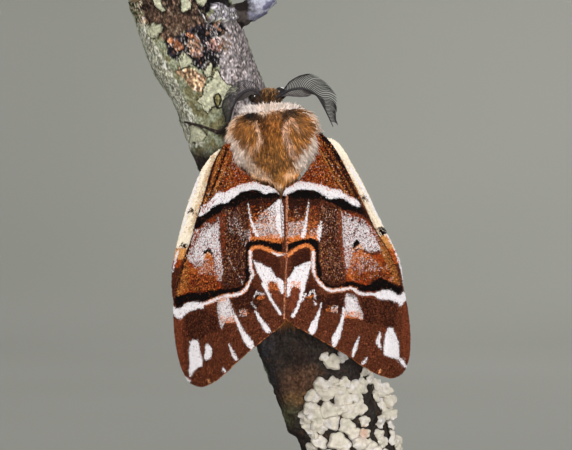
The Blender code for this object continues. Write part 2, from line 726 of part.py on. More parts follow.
def main():
    for old in list(bpy.data.objects):
        bpy.data.objects.remove(old)
    moth = bpy.data.objects.new("moth", None)
    moth.matrix_world = moth_matrix()
    bpy.context.scene.collection.objects.link(moth)

    fur = material("thorax_fur", (0.3, 0.2, 0.11), 0.9)
    head_look = material("head_fur", (0.22, 0.13, 0.06), 0.9)
    abdomen_look = material("abdomen_fur", (0.35, 0.2, 0.1), 0.9)
    eye_look = material("eye_surface", (0.02, 0.015, 0.01), 0.2)
    feeler = material("antenna_surface", (0.05, 0.045, 0.045), 0.7)
    leg_look = material("leg_scales", (0.05, 0.035, 0.03), 0.8)
    wing_look = material("forewing_scales", (0.22, 0.09, 0.05), 0.8)
    hind_look = material("hindwing_scales", (0.75, 0.66, 0.5), 0.8)
    bark_look = material("bark", (0.2, 0.18, 0.14), 0.9)
    lichen_look = material("lichen", (0.7, 0.68, 0.6), 0.95)
    base_look = material("base_plate", (0.05, 0.05, 0.05), 0.4)
    rod_look = material("rod_metal", (0.6, 0.6, 0.6), 0.3, 1.0)

    thorax(fur, moth)
    head(head_look, moth)
    abdomen(abdomen_look, moth)
    for side in ("left", "right"):
        eye(side, eye_look, moth)
        antenna(side, feeler, moth)
        made = wing("forewing_" + side, side, FOREWING_COSTA, FOREWING_OUTER, FOREWING_INNER,
                    FOREWING_VEINS, 14, 0.0, 0.15 * MM)
        finish(made, wing_look, moth)
        made = wing("hindwing_" + side, side, HINDWING_COSTA, HINDWING_OUTER, HINDWING_INNER,
                    HINDWING_VEINS, 10, HINDWING_DROP, 0.12 * MM)
        finish(made, hind_look, moth)
    for name in LEGS:
        leg(name, leg_look, moth)
    perch_branch(bark_look)
    perch_lichen(lichen_look)
    stand(base_look, rod_look)


main()
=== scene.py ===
"""The looks of a kentish glory moth at rest on a lichened branch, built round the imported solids.

Shapes are worked out in millimetres. The moth is laid out in a frame of its own: +X to its right as
seen from behind its back, +Y from back to belly, +Z towards the head. Markings are placed where the
photograph shows them, in its pixels, and kept as outlines and lines with a width.
"""

import math

import bpy
import numpy as np
from mathutils import Matrix, Vector
from mathutils import noise as blender_noise


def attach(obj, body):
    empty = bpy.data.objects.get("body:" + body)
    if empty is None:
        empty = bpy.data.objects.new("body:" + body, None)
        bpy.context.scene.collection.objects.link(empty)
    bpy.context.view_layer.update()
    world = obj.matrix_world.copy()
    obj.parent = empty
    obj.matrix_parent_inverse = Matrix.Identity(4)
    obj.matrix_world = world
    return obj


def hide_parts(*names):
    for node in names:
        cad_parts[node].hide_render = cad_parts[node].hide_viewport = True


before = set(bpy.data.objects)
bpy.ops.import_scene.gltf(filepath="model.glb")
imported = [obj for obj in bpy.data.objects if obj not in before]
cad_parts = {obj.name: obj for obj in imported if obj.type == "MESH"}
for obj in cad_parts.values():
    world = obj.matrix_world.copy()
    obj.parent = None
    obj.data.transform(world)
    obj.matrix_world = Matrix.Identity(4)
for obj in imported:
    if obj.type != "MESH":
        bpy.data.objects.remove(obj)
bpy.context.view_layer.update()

MM = 0.001
BODY = "root"

# The photograph's view: millimetres a pixel at the moth, the picture's middle, the camera's distance
PIXEL = 0.12
MIDDLE = (286.0, 225.0)
MIDDLE_HEIGHT = 46.0
CAMERA_AWAY = 286.0
MOTH_PLACE = (-1.68, -15.5, 56.2)
MOTH_LEAN = math.radians(6)

MOTH_MATRIX = np.array(Matrix.Translation(MOTH_PLACE) @ Matrix.Rotation(-MOTH_LEAN, 4, "Y"))


# Numbers and places
def smooth(edge0, edge1, x):
    t = np.clip((x - edge0) / (edge1 - edge0), 0, 1)
    return t * t * (3 - 2 * t)


def unit(vectors):
    return vectors / np.maximum(np.linalg.norm(vectors, axis=-1, keepdims=True), 1e-12)


def grid(rows, columns):
    """The first and the second value of every pair of two lists of values."""
    return (values.ravel() for values in np.meshgrid(rows, columns, indexing="ij"))


def to_world(points):
    return points @ MOTH_MATRIX[:3, :3].T + MOTH_MATRIX[:3, 3]


def in_photo(world):
    """The photograph's pixels of points in millimetres."""
    near = CAMERA_AWAY / (CAMERA_AWAY + world[:, 1] - MOTH_PLACE[1])
    return MIDDLE[0] + world[:, 0] / PIXEL * near, MIDDLE[1] - (world[:, 2] - MIDDLE_HEIGHT) / PIXEL * near


def lattice(ix, iy, iz, seed):
    """A repeatable number from 0 to 1 for each whole-numbered place."""
    n = (ix * 73856093) ^ (iy * 19349663) ^ (iz * 83492791) ^ (seed * 50331653 + 12345)
    n = ((n & 0xFFFFFFFF) * 1274126177) & 0xFFFFFFFF
    n = ((n ^ (n >> 15)) * 668265263) & 0xFFFFFFFF
    return ((n ^ (n >> 13)) & 0xFFFFFF) / float(0xFFFFFF)


def noise(points, seed=0):
    """Smooth noise from -1 to 1, one swing to a unit."""
    low = np.floor(points).astype(np.int64)
    part = points - low
    part = part * part * (3 - 2 * part)
    total = np.zeros(len(points))
    for corner in range(8):
        step = np.array([(corner >> a) & 1 for a in range(3)])
        weight = np.prod(np.where(step, part, 1 - part), axis=1)
        at = low + step
        total += weight * lattice(at[:, 0], at[:, 1], at[:, 2], seed)
    return total * 2 - 1


def fractal(points, octaves=4, seed=0):
    total = np.zeros(len(points))
    size = 1.0
    for i in range(octaves):
        total += size * noise(points * 2.0**i, seed + i)
        size *= 0.5
    return total


def curve_through(points, count, steps=12):
    """Points at even distances along a smooth curve through the given ones."""
    points = np.array(points, float)
    ends = np.vstack([2 * points[0] - points[1], points, 2 * points[-1] - points[-2]])
    fine = []
    for a, b, c, d in zip(ends, ends[1:], ends[2:], ends[3:]):
        for i in range(steps):
            t = i / steps
            fine.append(0.5 * (2 * b + (c - a) * t + (2 * a - 5 * b + 4 * c - d) * t**2
                               + (3 * b - 3 * c + d - a) * t**3))
    fine = np.vstack([*fine, points[-1]])
    lengths = np.concatenate([[0], np.cumsum(np.linalg.norm(np.diff(fine, axis=0), axis=1))])
    wanted = np.linspace(0, lengths[-1], count)
    return np.stack([np.interp(wanted, lengths, fine[:, a]) for a in range(points.shape[1])], axis=1)


def along_curve(table, share):
    """Places at shares 0 to 1 of a curve kept as even points."""
    at = np.clip(share, 0, 1) * (len(table) - 1)
    marks = np.arange(len(table))
    return np.stack([np.interp(at, marks, table[:, a]) for a in range(table.shape[1])], axis=-1)


def linear(colour):
    """Scene-linear values of a colour from 0 to 255, kept below the lamps' white."""
    c = np.array(colour, float) / 255
    return 0.8 * np.where(c <= 0.04045, c / 12.92, ((c + 0.055) / 1.055) ** 2.4)


# Pieces
def limited(colours):
    """Colours kept below full white without a change of hue."""
    return colours / np.maximum(1, colours.max(axis=-1, keepdims=True) / 0.9)


def new_piece(name, points, faces, look, replaces=(), shades=None, unwrap=None, soft=True):
    """A mesh piece from world points in millimetres and arrays of faces with 3 or 4 corners."""
    mesh = bpy.data.meshes.new(name)
    mesh.vertices.add(len(points))
    mesh.vertices.foreach_set("co", (np.asarray(points, np.float32) * MM).ravel())
    corners = np.concatenate([f.ravel() for f in faces]).astype(np.int32)
    sizes = np.concatenate([np.full(len(f), f.shape[1]) for f in faces])
    starts = np.concatenate([[0], np.cumsum(sizes)[:-1]]).astype(np.int32)
    mesh.loops.add(len(corners))
    mesh.loops.foreach_set("vertex_index", corners)
    mesh.polygons.add(len(sizes))
    mesh.polygons.foreach_set("loop_start", starts)
    mesh.polygons.foreach_set("use_smooth", np.full(len(sizes), soft))
    mesh.update(calc_edges=True)
    if shades is not None:
        layer = mesh.color_attributes.new("marking", "FLOAT_COLOR", "POINT")
        full = np.ones((len(points), 4), np.float32)
        full[:, :3] = shades
        layer.data.foreach_set("color", full.ravel())
    if unwrap is not None:
        layer = mesh.uv_layers.new(name="OFBake")
        layer.data.foreach_set("uv", np.asarray(unwrap, np.float32)[corners].ravel())
    mesh.materials.append(look)
    made = bpy.data.objects.new(name, mesh)
    bpy.context.scene.collection.objects.link(made)
    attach(made, BODY)
    if replaces:
        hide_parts(*replaces)
    return made


# Materials
def start_material(name, roughness, sheen=0.0, specular=0.4):
    made = bpy.data.materials.new(name)
    made.use_nodes = True
    tree = made.node_tree
    shader = tree.nodes["Principled BSDF"]
    shader.inputs["Roughness"].default_value = roughness
    shader.inputs["Sheen Weight"].default_value = sheen
    shader.inputs["Sheen Roughness"].default_value = 0.4
    shader.inputs["Specular IOR Level"].default_value = specular
    return made, tree, shader


def noise_node(tree, scale, detail=4.0, stretch=(1, 1, 1)):
    place = tree.nodes.new("ShaderNodeTexCoord")
    mapping = tree.nodes.new("ShaderNodeMapping")
    mapping.inputs["Scale"].default_value = stretch
    texture = tree.nodes.new("ShaderNodeTexNoise")
    texture.inputs["Scale"].default_value = scale
    texture.inputs["Detail"].default_value = detail
    texture.inputs["Roughness"].default_value = 0.6
    tree.links.new(place.outputs["Object"], mapping.inputs["Vector"])
    tree.links.new(mapping.outputs["Vector"], texture.inputs["Vector"])
    return texture.outputs["Fac"]


def ramp_node(tree, value, stops):
    ramp = tree.nodes.new("ShaderNodeValToRGB")
    while len(ramp.color_ramp.elements) < len(stops):
        ramp.color_ramp.elements.new(0.5)
    for element, (place, colour) in zip(ramp.color_ramp.elements, stops):
        element.position = place
        element.color = (*colour, 1)
    tree.links.new(value, ramp.inputs["Fac"])
    return ramp.outputs["Color"]


def multiply_node(tree, a, b):
    mixer = tree.nodes.new("ShaderNodeMix")
    mixer.data_type = "RGBA"
    mixer.blend_type = "MULTIPLY"
    mixer.inputs["Factor"].default_value = 1.0
    tree.links.new(a, mixer.inputs["A"])
    tree.links.new(b, mixer.inputs["B"])
    return mixer.outputs["Result"]


def bump_node(tree, shader, height, strength, distance):
    bump = tree.nodes.new("ShaderNodeBump")
    bump.inputs["Strength"].default_value = strength
    bump.inputs["Distance"].default_value = distance
    tree.links.new(height, bump.inputs["Height"])
    tree.links.new(bump.outputs["Normal"], shader.inputs["Normal"])


def marked_material(name, roughness, grain, depth, sheen=0.0, specular=0.4, variation=0.25):
    """A surface that takes its markings from the mesh and adds a fine grain of light and dark."""
    made, tree, shader = start_material(name, roughness, sheen=sheen, specular=specular)
    marks = tree.nodes.new("ShaderNodeVertexColor")
    marks.layer_name = "marking"
    fine = noise_node(tree, grain)
    low = 1 - variation
    shade = ramp_node(tree, fine, [(0.3, (low, low, low)), (0.7, (1.0, 1.0, 1.0))])
    colour = multiply_node(tree, marks.outputs["Color"], shade)
    tree.links.new(colour, shader.inputs["Base Color"])
    bump_node(tree, shader, fine, 0.4, depth)
    return made


# Camera, light, floor
def set_camera():
    scene = bpy.context.scene
    scene.view_settings.view_transform = "Standard"
    lens = bpy.data.cameras.new("camera")
    lens.lens = 150
    lens.sensor_width = 36
    lens.clip_start = 0.01
    lens.clip_end = 20
    camera = bpy.data.objects.new("camera", lens)
    camera.location = (0, (MOTH_PLACE[1] - CAMERA_AWAY) * MM, MIDDLE_HEIGHT * MM)
    camera.rotation_euler = (math.radians(90), 0, 0)
    scene.collection.objects.link(camera)
    scene.camera = camera


def set_lights():
    """A pale sky and four square lamps that look at the moth."""
    scene = bpy.context.scene
    world = bpy.data.worlds.new("studio")
    world.use_nodes = True
    sky = world.node_tree.nodes["Background"]
    sky.inputs["Color"].default_value = (0.93, 0.96, 1.0, 1)
    sky.inputs["Strength"].default_value = 0.375
    scene.world = world
    lights = [
        # name, place, size, power, colour
        ("key", (-0.4, -0.8, 0.62), 0.34, 7.5, (1.0, 0.98, 0.95)),
        ("front", (0.1, -0.94, 0.04), 0.16, 11.9, (1.0, 0.965, 0.94)),
        ("fill", (0.7, -0.6, 0.25), 0.6, 2.5, (0.98, 0.98, 1.0)),
        ("back", (0.25, 0.7, 0.7), 0.5, 5.0, (1.0, 0.98, 0.95)),
    ]
    aim = Vector((0, -0.01, 0.045))
    for name, place, size, power, colour in lights:
        lamp = bpy.data.lights.new(name, "AREA")
        lamp.shape = "SQUARE"
        lamp.size = size
        lamp.energy = power
        lamp.color = colour
        made = bpy.data.objects.new(name, lamp)
        made.location = place
        made.rotation_euler = (aim - Vector(place)).to_track_quat("-Z", "Y").to_euler()
        scene.collection.objects.link(made)


def set_floor():
    """A pale paper floor that sweeps up behind, in metres."""
    reach, bend, wall, steps = 3.0, 0.35, 0.95, 16
    profile = [(-reach, 0.0), (-1.0, 0.0), (0.0, 0.0), (wall - bend, 0.0)]
    for i in range(1, steps + 1):
        turn = math.pi / 2 * i / steps
        profile.append((wall - bend + bend * math.sin(turn), bend - bend * math.cos(turn)))
    profile += [(wall, 1.2), (wall, 2.4)]
    points = [(x, y, z) for x in (-reach, reach) for y, z in profile]
    count = len(profile)
    faces = [(i, i + count, i + count + 1, i + 1) for i in range(count - 1)]
    mesh = bpy.data.meshes.new("studio_floor")
    mesh.from_pydata(points, [], faces)
    mesh.shade_smooth()
    floor = bpy.data.objects.new("studio_floor", mesh)
    bpy.context.scene.collection.objects.link(floor)
    look, tree, shader = start_material("studio_paper", 0.9, specular=0.2)
    paper = noise_node(tree, 3.0, detail=2.0)
    colour = ramp_node(tree, paper, [(0.3, (0.236, 0.241, 0.215)), (0.7, (0.263, 0.264, 0.245))])
    tree.links.new(colour, shader.inputs["Base Color"])
    mesh.materials.append(look)


set_camera()
set_lights()
set_floor()

# Wings
HALF_SPAN = 14.0
UPPER_FACE = 0.24
FACES_APART = 0.2
VEIN_HEIGHT = 0.13
VEIN_WIDTH = 0.011
FOLD_HEIGHT = 0.05
ROOF_SLOPE = 0.28
ROOF_CURVE = 0.26
RIDGE_TOP = (0.44, 6.1)
RIDGE_END = (-0.54, 21.1)
SIDE_STRETCH = {"left": -0.028, "right": 0.028}
HINDWING_DROP = 1.25
HINDWING_PULL = {"left": 0.3, "right": -0.3}
HINDWING_PULL_LENGTH = 16.0
WINGS = {
    "forewing": {
        "costa": [(5.0, -0.75), (5.92, 0.0), (7.26, 1.9), (8.64, 5.1), (9.94, 8.2), (11.18, 11.5),
                  (12.7, 14.5), (13.65, 17.1), (14.1, 19.6), (14.3, 22.3), (14.25, 24.8), (13.9, 27.1),
                  (13.3, 28.6)],
        "outer": [(13.3, 28.6), (12.3, 29.4), (11.1, 29.45), (9.1, 28.4), (6.9, 26.6), (4.75, 24.95),
                  (2.57, 23.4), (0.96, 22.2), (0.2, 21.2)],
        "inner": [(4.9, 1.7), (3.75, 3.7), (2.3, 5.1), (0.75, 5.9), (0.2, 7.4), (0.2, 12.0), (0.2, 17.0),
                  (0.2, 21.2)],
        "veins": (0.05, 0.18, 0.32, 0.44, 0.58, 0.76, 0.94),
        "drop": 0.0,
        "length": 29.0,
    },
    "hindwing": {
        "costa": [(5.0, 0.35), (6.3, 0.3), (7.5, 0.9), (8.4, 2.0), (9.1, 3.3), (9.85, 4.8), (10.85, 6.9),
                  (12.1, 10.2), (13.0, 12.6), (13.8, 15.0), (14.1, 17.4), (13.9, 19.6)],
        "outer": [(13.9, 19.6), (12.7, 22.0), (10.2, 23.3), (7.6, 22.9), (5.6, 21.6), (4.3, 19.6)],
        "inner": [(4.9, 2.6), (4.1, 4.6), (3.6, 8.0), (3.5, 12.0), (3.7, 16.0), (4.3, 19.6)],
        "veins": (0.14, 0.34, 0.54, 0.74, 0.9),
        "drop": HINDWING_DROP,
        "length": 21.0,
    },
}
for shape in WINGS.values():
    for edge in ("costa", "outer", "inner"):
        shape[edge + "_table"] = curve_through(shape[edge], 401)
    shape["root_table"] = curve_through([shape["costa"][0], shape["inner"][0]], 401)


def ridge_at(down):
    share = np.clip((down - RIDGE_TOP[1]) / (RIDGE_END[1] - RIDGE_TOP[1]), 0, 1)
    return RIDGE_TOP[0] + (RIDGE_END[0] - RIDGE_TOP[0]) * share


def roof_at(out):
    share = np.abs(out) / HALF_SPAN
    return HALF_SPAN * (ROOF_SLOPE * share + ROOF_CURVE * share**2)


def wing_flat(shape, k, t):
    """A place on the opened-out wing: k runs from the costa to the inner edge, t from root to margin."""
    costa, inner = (along_curve(shape[e + "_table"], t) for e in ("costa", "inner"))
    root, outer = (along_curve(shape[e + "_table"], k) for e in ("root", "outer"))
    k, t = k[:, None], t[:, None]
    flat = costa * (1 - k) + inner * k + root * (1 - t) + outer * t
    root0, root1 = shape["root_table"][0], shape["root_table"][-1]
    outer0, outer1 = shape["outer_table"][0], shape["outer_table"][-1]
    return flat - (root0 * (1 - k) + root1 * k) * (1 - t) - (outer0 * (1 - k) + outer1 * k) * t


def wing_middle(shape, side, k, t):
    """The wing's middle surface, in the moth's frame."""
    sign = 1 if side == "right" else -1
    flat = wing_flat(shape, k, t)
    out, down = flat[:, 0], flat[:, 1]
    if shape["drop"] == 0:
        out = out - 0.28 * (1 - smooth(0.2, 2.5, out)) * smooth(5.0, 8.0, down)
    else:
        pulled = (out > 0.5 * HALF_SPAN) & (down > 0) & (down < HINDWING_PULL_LENGTH)
        share = smooth(0.5, 0.65, out / HALF_SPAN) * pulled
        out = out + HINDWING_PULL[side] * share * np.sin(math.pi * down / HINDWING_PULL_LENGTH)
    if side == "left":
        start = smooth(1.0, 4.5, down) if shape["drop"] else 1.0
        out = out + 0.15 * start * smooth(7.2, 3.0, down) * smooth(3.5, 5.5, out)
    down = down * (1 + SIDE_STRETCH[side] * out / HALF_SPAN)
    across = ridge_at(down) * (1 - out / HALF_SPAN) + sign * out
    return np.stack([across, roof_at(out) + shape["drop"], -down], axis=1)


def wing_surface(shape, side, k, t):
    """Points on the upper face with its veins and folds, its normals, and the way to the margin."""
    e = 0.004
    k0, k1 = np.clip(k - e, 0, 1), np.clip(k + e, 0, 1)
    t0, t1 = np.clip(t - e, 0, 1), np.clip(t + e, 0, 1)
    across = wing_middle(shape, side, k1, t) - wing_middle(shape, side, k0, t)
    along = unit(wing_middle(shape, side, k, t1) - wing_middle(shape, side, k, t0))
    normal = unit(np.cross(along, across))
    normal *= np.where(normal[:, 1:2] > 0, -1, 1)
    raised = np.zeros(len(k))
    for vein in shape["veins"]:
        raised += np.exp(-(((k - vein) / VEIN_WIDTH) ** 2))
    folds = FOLD_HEIGHT * np.sin(k * 2 * math.pi * len(shape["veins"])) * smooth(0.15, 0.6, t)
    height = UPPER_FACE + (VEIN_HEIGHT * raised + folds) * smooth(0.02, 0.2, t)
    return wing_middle(shape, side, k, t) + normal * height[:, None], normal, along


# Colours of the scales, 0 to 255
PAINTS = {
    "white": (228, 224, 227),
    "grey": (202, 194, 194),
    "cream": (240, 228, 206),
    # streak: partly the hindwing's own brownish band, partly painted shade under the forewing's edge
    "streak": (206, 180, 148),
    "black": (9, 5, 5),
    "dark": (42, 19, 12),
    "maroon": (66, 30, 18),
    "brown": (98, 53, 33),
    "redbrown": (106, 52, 32),
    "rust": (138, 56, 20),
    "deep_rust": (118, 42, 16),
    "orange": (212, 120, 58),
    "pale_orange": (228, 160, 108),
    "ochre": (168, 108, 52),
    "gold": (178, 106, 46),
    "dust": (150, 112, 98),
    "fringe": (196, 136, 104),
    "tan": (200, 140, 80),
}


def inside(outline, x, y):
    hits = np.zeros(len(x), bool)
    for (x0, y0), (x1, y1) in zip(outline, outline[1:] + outline[:1]):
        if y0 != y1:
            hits ^= ((y0 > y) != (y1 > y)) & (x < (x1 - x0) * (y - y0) / (y1 - y0) + x0)
    return hits


def off_line(line, x, y):
    """How far places are off each stretch of a line whose points have a width, and its width there."""
    for (x0, y0, w0), (x1, y1, w1) in zip(line, line[1:]):
        dx, dy = x1 - x0, y1 - y0
        share = np.clip(((x - x0) * dx + (y - y0) * dy) / (dx * dx + dy * dy), 0, 1)
        yield np.hypot(x - x0 - share * dx, y - y0 - share * dy), w0 + (w1 - w0) * share


def on_line(line, x, y):
    hits = np.zeros(len(x), bool)
    for far, width in off_line(line, x, y):
        hits |= far < width / 2
    return hits


def paint(marks, x, y, chance, ragged, ground="brown"):
    """Colours at photo places. A mark is a colour, the share of scales that take it, and its shape."""
    x = x + ragged * chance.normal(size=len(x))
    y = y + ragged * chance.normal(size=len(y))
    colours = np.tile(linear(PAINTS[ground]), (len(x), 1))
    for name, share, shape in marks:
        hits = (inside if len(shape[0]) == 2 else on_line)(shape, x, y)
        hits &= chance.random(len(x)) < share
        colours[hits] = linear(PAINTS[name])
    return colours


def between(first, second):
    return first + second[::-1]


def widened(line, width):
    return [(x, y, width) for x, y in line]


def layers(shape, **shares):
    """Marks of one shape that lie over one another, in the order given."""
    return [(name, share, shape) for name, share in shares.items()]


# Right forewing
R_BAND_TOP = [(278, 189), (288, 187.5), (292.5, 184.6), (297, 182), (301, 181), (305, 182), (309, 182),
              (313, 183), (319, 184), (324, 186), (330, 188), (338, 189), (342.5, 192), (347, 195),
              (351, 197), (355, 199), (359, 201), (362, 203.5)]
R_BAND_LOW = [(278, 195.4), (285, 195), (288, 194), (292.5, 192), (297, 190), (301, 188.8), (309, 189.6),
              (315, 190.4), (319, 192), (323, 195), (327, 197.5), (330, 199), (334, 198), (338, 198),
              (342, 198.3), (347, 201), (351, 204), (355, 206), (362, 207)]
R_BLACK_LOW = [(278, 199), (285, 199), (292.5, 198.5), (298, 198), (305, 198.6), (313, 199), (322, 200),
               (327, 201.5), (333, 203.5), (338, 207.5), (343, 210), (351, 211), (357, 212.5), (363, 215),
               (367, 219)]
R_POSTMEDIAN = [(313, 252), (313.3, 262), (313.3, 270), (315, 277), (318, 281), (322, 285.5), (327, 289.4),
                (332, 290.8), (338, 290), (345, 289), (351, 288), (355, 290), (358, 292.5), (363, 294.6),
                (370, 294), (378, 294)]
R_ARCH = [(286, 256.5), (292.5, 251.7), (298, 247.5), (305, 245), (310, 246), (313, 250)]
